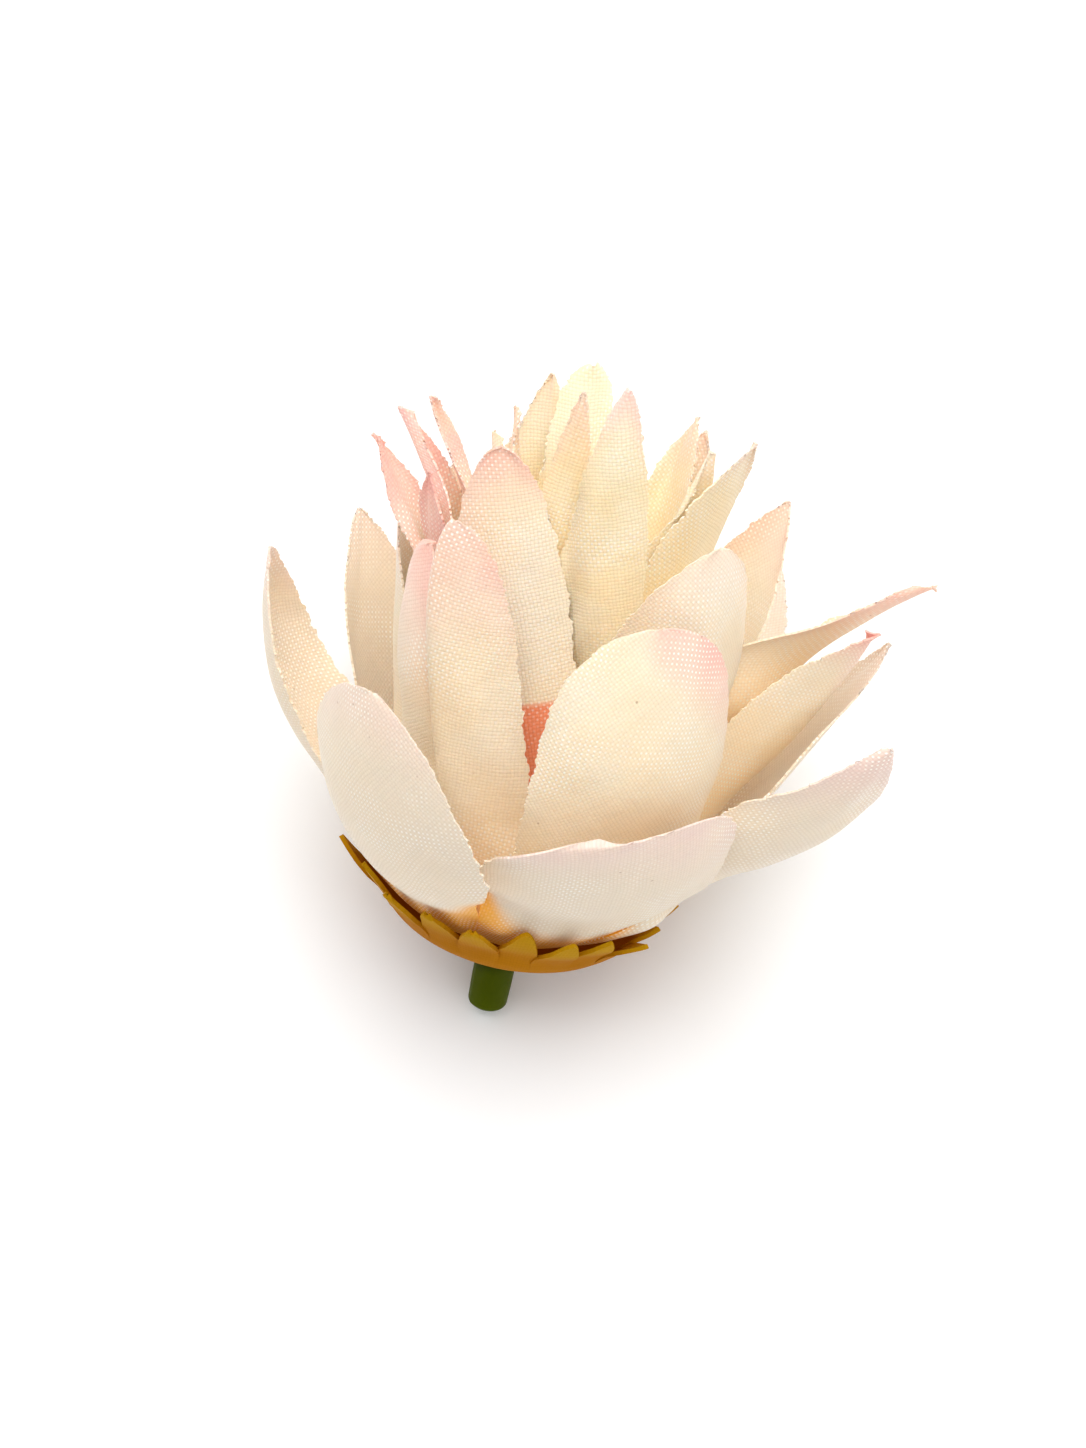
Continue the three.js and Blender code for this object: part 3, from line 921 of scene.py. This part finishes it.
@dataclass
class Calyx:
    """The toothed cup under the petals. It sits a little askew."""

    finish: "ClothFinish"
    skirt: Skirt | None = None
    teeth: int = 24
    wall: float = 0.5
    cup: tuple[tuple[float, float], ...] = ((1.7, 0.9), (7.0, 1.6), (12.0, 3.6), (16.4, 6.4))
    tooth: tuple[tuple[float, float], ...] = ((16.4, 6.4), (18.9, 8.3), (20.9, 10.5), (22.4, 14.0))
    short: float = 0.3
    short_towards: float = 352.0
    dip: float = 1.2
    dip_towards: float = 300.0
    cup_rows: int = 14
    tooth_rows: int = 16
    columns: int = 11

    def askew(self, radius: np.ndarray, azimuth: np.ndarray, height: np.ndarray) -> np.ndarray:
        """Points on the tilted cup."""
        drop = self.dip * (radius / 22.3) ** 2 * np.cos(azimuth - math.radians(self.dip_towards))
        return np.stack((radius * np.cos(azimuth), radius * np.sin(azimuth), height - drop), -1)

    def limit(self) -> np.ndarray:
        """The band of the teeth, which the petals stay inside."""
        band = ((18.6, 8.0), (21.2, 11.0), (22.4, 13.0), (22.9, 14.6))
        azimuth = np.linspace(0, 2 * np.pi, 73)
        return np.stack([self.askew(np.full(73, r), azimuth, np.full(73, z)) for r, z in band])

    def sector(self, index: int) -> bpy.types.Object:
        """One tooth with its share of the cup.

        Args:
            index: Which tooth.

        Returns:
            The object.
        """
        rng = np.random.default_rng(7000 + index)
        low = resample(np.array(self.cup), np.linspace(0, 1, self.cup_rows))
        t = 1 - (1 - np.linspace(0, 1, self.tooth_rows + 1)[1:]) ** 1.3
        facing = math.cos((2 * index + 1) * math.pi / self.teeth - math.radians(self.short_towards))
        high = resample(np.array(self.tooth), t * (1 - self.short * max(0.0, facing) ** 3))
        rz = np.concatenate((low, high))
        s = np.linspace(-1, 1, self.columns)[None, :]
        late = np.clip((t - 0.12) / 0.88, 0, 1)
        wide = 1 + 0.16 * ease(t / 0.25)
        wide = wide * np.maximum(0.012, 1 - late ** rng.uniform(1.7, 2.1)) ** 0.78
        share = np.concatenate((np.ones(self.cup_rows), wide))[:, None]
        rise = np.concatenate((np.zeros(self.cup_rows), t))[:, None]
        half = math.pi / self.teeth
        lean = rng.uniform(-0.05, 0.05)
        azimuth = (2 * index + 1) * half + half * share * s + lean * rise**2 * half * 4
        stagger = 0.5 if index % 2 else -0.3
        radius = rz[:, :1] + rise * (stagger + 0.5 * rng.uniform(-0.6, 0.6)) - 0.45 * rise * s * s
        height = rz[:, 1:] + rise * rng.uniform(-0.35, 0.35) + 0 * s
        if self.skirt:
            close = self.skirt.at(azimuth, height) + 0.75 + stagger * rise
            radius = blend(radius, np.minimum(radius, close), ease((rz[:, :1] - 14) / 6))
        points = self.askew(radius, azimuth, height)
        flat = np.stack((azimuth * 20.0, np.cumsum(np.full_like(azimuth, 0.45), axis=0)), -1)
        dye = np.zeros(points.shape[:2] + (4,))
        dye[..., Mask.TIP.value] = ease((rise - 0.35) / 0.65)
        # The cup is darker towards its middle, round the stub.
        dye[..., Mask.DEEP.value] = 1 - ease((rz[:, :1] - 4) / 12) + 0 * s
        return grid_object(f"calyx_{index}", points, flat, dye)

    def build(self) -> bpy.types.Object:
        """Builds and dresses the calyx.

        Returns:
            The calyx.
        """
        piece = join("calyx_cup", [self.sector(i) for i in range(self.teeth)], weld=0.01)
        piece.data.materials.append(self.finish.material())
        thicken(piece, self.wall)
        smooth(piece)
        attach(piece, "root")
        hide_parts("calyx")
        LOG.info("%s: %d faces", piece.name, len(piece.data.polygons))
        return piece


# ---- the stub -----------------------------------------------------------------------------------
@dataclass
class Stub:
    """The moulded stub with the pin that carries the layers."""

    finish: "PlasticFinish"
    sides: int = 64
    rounding: float = 1.6
    taper: float = 0.12
    seam: float = 0.07

    def outline(self) -> np.ndarray:
        """Radius and height from the stub's end to the top of the pin.

        Returns:
            One row for each point.
        """
        turn = np.linspace(0, np.pi / 2, 12)
        rounded = np.stack(
            (
                STUB_R - self.taper - self.rounding * (1 - np.sin(turn)),
                -STUB_LENGTH + self.rounding * 0.6 * (1 - np.cos(turn)),
            ),
            1,
        )
        shaft = np.stack(
            (np.linspace(STUB_R - self.taper, STUB_R, 14), np.linspace(-8.9, -0.1, 14)), 1
        )
        pin = np.array(((2.3, 0.2), (1.4, 0.3), (PIN_R, 0.5), (PIN_R, 8.2), (0.9, PIN_TOP), (0.001, PIN_TOP)))
        return np.concatenate((((0.001, -STUB_LENGTH),), rounded, shaft, pin))

    def build(self) -> bpy.types.Object:
        """Builds and dresses the stub.

        Returns:
            The stub.
        """
        rz = self.outline()
        azimuth = np.linspace(0, 2 * np.pi, self.sides + 1)[None, :]
        radius, height = rz[:, :1], rz[:, 1:]
        below = height < 0
        ridge = self.seam * np.exp(-((np.sin(azimuth - 0.6) / 0.09) ** 2)) * below
        dent = 0.06 * np.sin(2 * azimuth + height * 0.8) * below
        grown = radius * (1 + (ridge + dent * 0.5) / STUB_R)
        points = np.stack((grown * np.cos(azimuth), grown * np.sin(azimuth), height + 0 * azimuth), -1)
        flat = np.stack((azimuth + 0 * height, height + 0 * azimuth), -1)
        dye = np.zeros(points.shape[:2] + (4,))
        # Painted shade: the stub is darkened towards its top, under the calyx.
        dye[..., Mask.DEEP.value] = ease((height + 7) / 8) + 0 * azimuth
        piece = join("stem", [grid_object("stem", points, flat, dye)], weld=0.01)
        piece.data.materials.append(self.finish.material())
        smooth(piece, 60)
        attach(piece, "root")
        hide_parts("stem_stub")
        LOG.info("%s: %d faces", piece.name, len(piece.data.polygons))
        return piece


# ---- finishes ------------------------------------------------------------------------------------
Colour = tuple[float, float, float]


def linear(red: int, green: int, blue: int) -> Colour:
    """Linear colour from display values.

    Args:
        red: From 0 to 255.
        green: From 0 to 255.
        blue: From 0 to 255.

    Returns:
        The colour.
    """
    values = []
    for value in (red, green, blue):
        c = value / 255
        values.append(c / 12.92 if c <= 0.04045 else ((c + 0.055) / 1.055) ** 2.4)
    return values[0], values[1], values[2]


class Wiring:
    """Adds and links the nodes of a tree."""

    def __init__(self, tree: bpy.types.NodeTree) -> None:
        """Keeps the tree."""
        self.tree = tree

    def node(self, kind: str, **settings: object) -> bpy.types.Node:
        """Adds a node.

        Args:
            kind: Node type without the ShaderNode prefix.
            settings: Properties to set.

        Returns:
            The node.
        """
        made = self.tree.nodes.new("ShaderNode" + kind)
        for key, value in settings.items():
            setattr(made, key, value)
        return made

    def feed(self, socket: bpy.types.NodeSocket, value: object) -> None:
        """Links an output to a socket, or sets its value.

        Args:
            socket: The input.
            value: An output, or the value to set.
        """
        if isinstance(value, bpy.types.NodeSocket):
            self.tree.links.new(value, socket)
        elif isinstance(value, tuple) and len(value) == 3 and socket.type == "RGBA":
            socket.default_value = (*value, 1)
        else:
            socket.default_value = value

    def math(self, operation: str, *values: object) -> bpy.types.NodeSocket:
        """Adds a Math node.

        Args:
            operation: What it works out.
            values: Its inputs, in order.

        Returns:
            Its output.
        """
        made = self.node("Math", operation=operation)
        for socket, value in zip(made.inputs, values):
            self.feed(socket, value)
        return made.outputs[0]

    def mix(self, factor: object, a: object, b: object, how: str = "MIX") -> bpy.types.NodeSocket:
        """Adds a colour mix and returns its output.

        Args:
            factor: How much of b.
            a: First colour.
            b: Second colour.
            how: Blend type.

        Returns:
            The mixed colour.
        """
        made = self.node("Mix", data_type="RGBA", blend_type=how)
        self.feed(made.inputs[0], factor)
        self.feed(made.inputs[6], a)
        self.feed(made.inputs[7], b)
        return made.outputs[2]

    def noise(self, vector: object, scale: float, detail: float = 2.0) -> bpy.types.NodeSocket:
        """Adds a noise.

        Args:
            vector: Where it is read.
            scale: Its scale.
            detail: Its detail.

        Returns:
            Its value.
        """
        made = self.node("TexNoise")
        self.feed(made.inputs["Vector"], vector)
        made.inputs["Scale"].default_value = scale
        made.inputs["Detail"].default_value = detail
        return made.outputs[0]

    def ramp(self, value: object, low: float, high: float, to: tuple[float, float] = (0, 1)) -> object:
        """Maps low..high to a range, clamped and smooth.

        Args:
            value: Number to map.
            low: Start of its range.
            high: End of its range.
            to: Range of the result.

        Returns:
            The mapped number.
        """
        made = self.node("MapRange", interpolation_type="SMOOTHSTEP")
        for socket, number in zip(made.inputs, (value, low, high, *to)):
            self.feed(socket, number)
        return made.outputs[0]


def new_group(name: str, inputs: dict[str, str], outputs: dict[str, str]) -> tuple[Wiring, object, object]:
    """Starts a shader node group.

    Args:
        name: Name of the group.
        inputs: Socket types by name.
        outputs: Socket types by name.

    Returns:
        Its wiring, its input node and its output node.
    """
    tree = bpy.data.node_groups.new(name, "ShaderNodeTree")
    for label, kind in inputs.items():
        tree.interface.new_socket(label, in_out="INPUT", socket_type=kind)
    for label, kind in outputs.items():
        tree.interface.new_socket(label, in_out="OUTPUT", socket_type=kind)
    return Wiring(tree), tree.nodes.new("NodeGroupInput"), tree.nodes.new("NodeGroupOutput")


def plain_weave() -> bpy.types.NodeTree:
    """Group of a plain weave: one thread over, one under.

    Returns:
        The group, with the threads' height, gaps and unevenness, and the dashes of one thread direction,
        where highlights are painted.
    """
    found = bpy.data.node_groups.get("plain_weave")
    if found:
        return found
    wiring, start, end = new_group(
        "plain_weave",
        {"Cloth": "NodeSocketVector", "Pitch": "NodeSocketFloat"},
        {
            "Height": "NodeSocketFloat",
            "Gap": "NodeSocketFloat",
            "Slub": "NodeSocketFloat",
            "Dash": "NodeSocketFloat",
        },
    )
    wander = wiring.node("TexNoise")
    wiring.feed(wander.inputs["Vector"], start.outputs[0])
    wander.inputs["Scale"].default_value = 0.22
    shifted = wiring.node("VectorMath", operation="MULTIPLY_ADD")
    wiring.feed(shifted.inputs[0], wander.outputs[1])
    shifted.inputs[1].default_value = (0.7, 0.7, 0.0)
    wiring.feed(shifted.inputs[2], start.outputs[0])
    split = wiring.node("SeparateXYZ")
    wiring.feed(split.inputs[0], shifted.outputs[0])
    cells, waves = [], []
    for k in range(2):
        run = wiring.math("DIVIDE", split.outputs[k], start.outputs[1])
        cell = wiring.math("FLOOR", run)
        cells.append(cell)
        fraction = wiring.math("SUBTRACT", wiring.math("SUBTRACT", run, cell), 0.5)
        waves.append(wiring.math("COSINE", wiring.math("MULTIPLY", fraction, math.pi)))
    parity = wiring.math("ABSOLUTE", wiring.math("MODULO", wiring.math("ADD", *cells), 2.0))
    tops = []
    for own, other in ((0, 1), (1, 0)):
        arch = wiring.math("MULTIPLY_ADD", waves[other], 0.5, 0.5)
        tops.append(wiring.math("MULTIPLY", wiring.math("SQRT", waves[own]), arch))
    over = wiring.math("SUBTRACT", 1.0, parity)
    dash = wiring.math("MULTIPLY", wiring.ramp(tops[0], 0.62, 0.97), over)
    wiring.feed(end.inputs["Dash"], dash)
    slubs = []
    for stretch in ((1.0, 0.06, 1.0), (0.06, 1.0, 1.0)):
        scaled = wiring.node("VectorMath", operation="MULTIPLY")
        wiring.feed(scaled.inputs[0], shifted.outputs[0])
        scaled.inputs[1].default_value = stretch
        slubs.append(wiring.noise(scaled.outputs[0], 2.1, 1.0))
    for label, pair in (("Height", tops), ("Slub", slubs)):
        chosen = wiring.node("Mix", data_type="FLOAT")
        wiring.feed(chosen.inputs[0], parity)
        wiring.feed(chosen.inputs[2], pair[0])
        wiring.feed(chosen.inputs[3], pair[1])
        wiring.feed(end.inputs[label], chosen.outputs[0])
    open_x = wiring.math("SUBTRACT", 1.0, waves[0])
    open_y = wiring.math("SUBTRACT", 1.0, waves[1])
    gap = wiring.math("MULTIPLY", open_x, open_y)
    wiring.feed(end.inputs["Gap"], wiring.ramp(gap, 0.12, 0.6))
    return wiring.tree


def specks() -> bpy.types.NodeTree:
    """Group of sparse tiny specks.

    Returns:
        The group, with one mask.
    """
    found = bpy.data.node_groups.get("specks")
    if found:
        return found
    wiring, start, end = new_group(
        "specks", {"Place": "NodeSocketVector"}, {"Mask": "NodeSocketFloat"}
    )
    cells = wiring.node("TexVoronoi")
    wiring.feed(cells.inputs["Vector"], start.outputs[0])
    cells.inputs["Scale"].default_value = 560
    dot = wiring.ramp(cells.outputs["Distance"], 0.05, 0.12, (1, 0))
    few = wiring.node("SeparateColor")
    wiring.feed(few.inputs[0], cells.outputs["Color"])
    rare = wiring.math("GREATER_THAN", few.outputs[0], 0.93)
    wiring.feed(end.inputs[0], wiring.math("MULTIPLY", dot, rare))
    return wiring.tree


@dataclass(frozen=True)
class ClothFinish:
    """Dyed, stiffened woven cloth, with painted highlights, painted shade in the weave and a painted glow."""

    name: str
    slot: str
    ground: Colour
    tip: Colour
    deep: Colour
    coral: Colour = linear(246, 150, 112)
    ochre: Colour = linear(228, 160, 44)
    pitch: float = 0.42
    weave: float = 0.42
    # Strength of the painted shade in the gaps of the weave.
    gap_shade: float = 0.12
    # Strength of the painted highlights on the threads.
    painted_glint: float = 0.85
    roughness: float = 0.5
    sheen: float = 0.12
    specular: float = 0.5
    # Strength of the painted glow, which stands in for light coming through the cloth.
    painted_glow: float = 0.16
    translucent: float = 0.3

    def material(self) -> bpy.types.Material:
        """The material, made once.

        Returns:
            The material.
        """
        found = bpy.data.materials.get(self.name)
        if found:
            return found
        made = bpy.data.materials.new(self.name)
        made.use_nodes = True
        wiring = Wiring(made.node_tree)
        shader = made.node_tree.nodes["Principled BSDF"]
        cloth = wiring.node("UVMap", uv_map="cloth")
        place = wiring.node("TexCoord").outputs["Object"]
        weave = wiring.node("Group", node_tree=plain_weave())
        wiring.feed(weave.inputs["Cloth"], cloth.outputs[0])
        weave.inputs["Pitch"].default_value = self.pitch
        dots = wiring.node("Group", node_tree=specks())
        wiring.feed(dots.inputs[0], place)
        dye = wiring.node("Attribute", attribute_name="dye")
        parts = wiring.node("SeparateColor")
        wiring.feed(parts.inputs[0], dye.outputs["Color"])
        blot = wiring.ramp(wiring.noise(place, 130, 4), 0.3, 0.7, (0.7, 1.25))
        colour = wiring.mix(
            wiring.ramp(wiring.noise(place, 60, 3), 0.35, 0.65, (0, 0.3)), self.ground, self.deep
        )
        for mask, dyed in ((1, self.deep), (0, self.tip)):
            strength = wiring.math("MULTIPLY", parts.outputs[mask], blot)
            colour = wiring.mix(wiring.math("MINIMUM", strength, 1.0), colour, dyed)
        colour = wiring.mix(parts.outputs[2], colour, self.coral)
        colour = wiring.mix(dye.outputs["Alpha"], colour, self.ochre)
        # Slubs: threads a little lighter or darker at random along their length.
        shade = wiring.ramp(weave.outputs["Slub"], 0.3, 0.7, (0.975, 1.02))
        colour = wiring.mix(1.0, colour, shade, "MULTIPLY")
        # Painted shade in the gaps between the threads.
        gap = wiring.math("MULTIPLY", weave.outputs["Gap"], self.gap_shade)
        colour = wiring.mix(gap, colour, linear(206, 188, 166), "MULTIPLY")
        # Painted light and shade on the threads: their tops a little lighter, their low parts a little
        # darker.
        thread = wiring.ramp(weave.outputs["Height"], 0.1, 0.95, (0.97, 1.02))
        colour = wiring.mix(1.0, colour, thread, "MULTIPLY")
        # Painted highlights: in patches, the dashes of one thread direction are painted near white, standing
        # in for satin glints.
        highlight_patches = wiring.ramp(wiring.noise(place, 110, 4), 0.4, 0.66, (0.12 * self.painted_glint, self.painted_glint))
        painted_glint = wiring.math("MULTIPLY", weave.outputs["Dash"], highlight_patches)
        colour = wiring.mix(painted_glint, colour, linear(255, 251, 244))
        speck = wiring.math("MULTIPLY", dots.outputs[0], 0.5)
        colour = wiring.mix(speck, colour, linear(150, 100, 60))
        wiring.feed(shader.inputs["Base Color"], colour)
        # Painted glow: where the deep, ochre and tip dyes lie, the cloth emits its own colour, standing in
        # for light that comes through it.
        painted_emission_mask = wiring.math("MAXIMUM", parts.outputs[1], dye.outputs["Alpha"])
        painted_emission_mask = wiring.math("MAXIMUM", painted_emission_mask, parts.outputs[0])
        wiring.feed(shader.inputs["Emission Color"], wiring.mix(painted_emission_mask, (0.0, 0.0, 0.0), colour))
        shader.inputs["Emission Strength"].default_value = self.painted_glow
        rough = wiring.math("MULTIPLY_ADD", weave.outputs["Gap"], 0.2, self.roughness)
        wiring.feed(shader.inputs["Roughness"], rough)
        relief = wiring.node("Bump")
        relief.inputs["Strength"].default_value = self.weave
        relief.inputs["Distance"].default_value = 0.1 * MM
        wiring.feed(relief.inputs["Height"], weave.outputs["Height"])
        crease = wiring.node("Bump")
        crease.inputs["Strength"].default_value = 0.35
        crease.inputs["Distance"].default_value = 0.5 * MM
        wiring.feed(crease.inputs["Height"], wiring.noise(place, 260, 3))
        wiring.feed(crease.inputs["Normal"], relief.outputs[0])
        wiring.feed(shader.inputs["Normal"], crease.outputs[0])
        shader.inputs["Sheen Weight"].default_value = self.sheen
        shader.inputs["Sheen Roughness"].default_value = 0.4
        shader.inputs["Specular IOR Level"].default_value = self.specular
        shader.inputs["Subsurface Weight"].default_value = self.translucent
        shader.inputs["Subsurface Radius"].default_value = (1.0, 0.75, 0.5)
        shader.inputs["Subsurface Scale"].default_value = 0.35 * MM
        return made


@dataclass(frozen=True)
class PlasticFinish:
    """Moulded plastic with a satin skin."""

    name: str
    slot: str
    light: Colour
    dark: Colour
    roughness: float = 0.42

    def material(self) -> bpy.types.Material:
        """The material, made once.

        Returns:
            The material.
        """
        found = bpy.data.materials.get(self.name)
        if found:
            return found
        made = bpy.data.materials.new(self.name)
        made.use_nodes = True
        wiring = Wiring(made.node_tree)
        shader = made.node_tree.nodes["Principled BSDF"]
        place = wiring.node("TexCoord").outputs["Object"]
        dye = wiring.node("Attribute", attribute_name="dye")
        parts = wiring.node("SeparateColor")
        wiring.feed(parts.inputs[0], dye.outputs["Color"])
        cloud = wiring.noise(place, 350, 3)
        # The dark colour is mixed in by the noise, and on the stub also by the deep channel as painted shade
        # at its top.
        factor = wiring.math("MULTIPLY_ADD", wiring.math("SUBTRACT", cloud, 0.5), 0.8, parts.outputs[1])
        factor = wiring.ramp(factor, 0.0, 1.0)
        wiring.feed(shader.inputs["Base Color"], wiring.mix(factor, self.light, self.dark))
        rough = wiring.math("MULTIPLY_ADD", cloud, 0.25, self.roughness - 0.12)
        wiring.feed(shader.inputs["Roughness"], rough)
        relief = wiring.node("Bump")
        relief.inputs["Strength"].default_value = 0.25
        relief.inputs["Distance"].default_value = 0.2 * MM
        wiring.feed(relief.inputs["Height"], wiring.noise(place, 900, 3))
        wiring.feed(shader.inputs["Normal"], relief.outputs[0])
        shader.inputs["Specular IOR Level"].default_value = 0.04
        shader.inputs["Subsurface Weight"].default_value = 0.15
        shader.inputs["Subsurface Radius"].default_value = (0.6, 1.0, 0.3)
        shader.inputs["Subsurface Scale"].default_value = 1.0 * MM
        return made


PALE = ClothFinish(
    "woven_pale", "cloth_pale", linear(233, 218, 196), linear(224, 196, 188), linear(244, 222, 186)
)
CREAM = ClothFinish(
    "woven_cream", "cloth_cream", linear(241, 230, 209), linear(232, 164, 154), linear(250, 214, 156)
)
YELLOW = ClothFinish(
    "woven_yellow", "cloth_yellow", linear(247, 235, 208), linear(240, 182, 178), linear(254, 208, 98)
)
CALYX = ClothFinish(
    "stiff_ochre", "calyx_ochre", linear(178, 114, 0), linear(184, 136, 8), linear(154, 88, 0),
    roughness=0.7, translucent=0.0, weave=0.12, gap_shade=0.05, painted_glint=0.0, sheen=0.0, specular=0.05, painted_glow=0.0,
)
# The stem's dark colour is painted shade at the stub's top, under the calyx.
STEM = PlasticFinish("moulded_green", "stem_green", linear(72, 84, 0), linear(14, 26, 0))
BUTTON = PlasticFinish("moulded_cream", "cap_cream", linear(228, 214, 160), linear(206, 188, 126))


# ---- the studio ----------------------------------------------------------------------------------
@dataclass
class Studio:
    """Floor, lights and camera."""

    front: float = 0.48
    back: float = 0.82
    rise: float = 28.0
    roll: float = 12.0
    distance: float = 400.0
    lens: float = 83.5
    scale: float = 8.4
    centre: tuple[float, float] = (543.0, 724.0)
    origin: tuple[float, float] = (501.0, 935.0)

    def camera(self) -> None:
        """Places the camera, which looks down on the flower's side."""
        rise, roll = math.radians(self.rise), math.radians(self.roll)
        back = np.array((0, -math.cos(rise), math.sin(rise)))
        upright = np.array((0, math.sin(rise), math.cos(rise)))
        sideways = np.array((1.0, 0, 0))
        right = sideways * math.cos(roll) + upright * math.sin(roll)
        up = upright * math.cos(roll) - sideways * math.sin(roll)
        over = (self.origin[0] - self.centre[0]) / self.scale
        under = -(self.origin[1] - self.centre[1]) / self.scale
        target = -(right * over + up * under)
        turn = np.array(REST.turn())
        place = REST.to_row(target + back * self.distance)
        axes = np.stack((turn @ right, turn @ up, turn @ back), 1)
        data = bpy.data.cameras.new("camera")
        data.lens, data.sensor_width, data.clip_start = self.lens, 36.0, 0.01
        camera = bpy.data.objects.new("camera", data)
        matrix = Matrix(axes.tolist()).to_4x4()
        matrix.translation = Vector(place)
        camera.matrix_world = matrix
        bpy.context.scene.collection.objects.link(camera)
        bpy.context.scene.camera = camera

    def floor(self) -> None:
        """A plain pale floor."""
        bpy.ops.object.select_all(action="DESELECT")
        bpy.ops.mesh.primitive_plane_add(size=6)
        plane = bpy.context.object
        plane.name = "floor"
        made = bpy.data.materials.new("floor")
        made.use_nodes = True
        shader = made.node_tree.nodes["Principled BSDF"]
        shader.inputs["Base Color"].default_value = (0.93, 0.93, 0.93, 1)
        shader.inputs["Emission Color"].default_value = (1, 1, 1, 1)
        shader.inputs["Emission Strength"].default_value = 0.04
        shader.inputs["Roughness"].default_value = 0.9
        shader.inputs["Specular IOR Level"].default_value = 0.04
        plane.data.materials.append(made)

    def light(self, name: str, place: Colour, size: float, power: float) -> None:
        """A soft square light aimed at the flower.

        Args:
            name: Name of the light.
            place: Where it stands, in metres.
            size: Its side, in metres.
            power: Its power, in watts.
        """
        data = bpy.data.lights.new(name, "AREA")
        data.size, data.energy = size, power
        light = bpy.data.objects.new(name, data)
        light.location = place
        light.rotation_mode = "QUATERNION"
        light.rotation_quaternion = Vector(place).to_track_quat("Z", "Y")
        bpy.context.scene.collection.objects.link(light)

    def build(self) -> None:
        """Builds the studio."""
        self.camera()
        self.floor()
        self.light("key", (0.05, 0.3, 1.0), 0.85, 9.7)
        self.light("fill", (0.5, -0.8, 0.6), 0.9, 1.1)
        world = bpy.data.worlds.new("studio")
        world.use_nodes = True
        background = world.node_tree.nodes["Background"]
        background.inputs[0].default_value = (1, 1, 1, 1)
        sky = Wiring(world.node_tree)
        split = sky.node("SeparateXYZ")
        sky.feed(split.inputs[0], sky.node("TexCoord").outputs["Generated"])
        sky.feed(background.inputs[1], sky.ramp(split.outputs[1], -1.0, 1.0, (self.front, self.back)))
        bpy.context.scene.world = world
        bpy.context.scene.view_settings.view_transform = "Standard"


def main() -> None:
    """Builds the flower and its studio."""
    logging.basicConfig(level=logging.INFO, format="%(message)s")
    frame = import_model()
    Studio().build()
    calyx = Calyx(CALYX)
    Stub(STEM).build()
    room = Room()
    room.place(calyx.limit())
    layers = ((OUTER, PALE), (SECOND, CREAM), (THIRD, CREAM), (FOURTH, YELLOW), (INNER, YELLOW))
    petals = [PetalLayer(cut, finish, seed) for seed, (cut, finish) in enumerate(layers, 1)]
    for layer in petals:
        layer.build(room)
    calyx.skirt = Skirt(petals[0].grids)
    calyx.build()
    cap = frame["nodes"]["cap"]
    cap.data.materials.clear()
    cap.data.materials.append(BUTTON.material())
    LOG.info("cap: dressed")


if __name__ == "__main__":
    main()
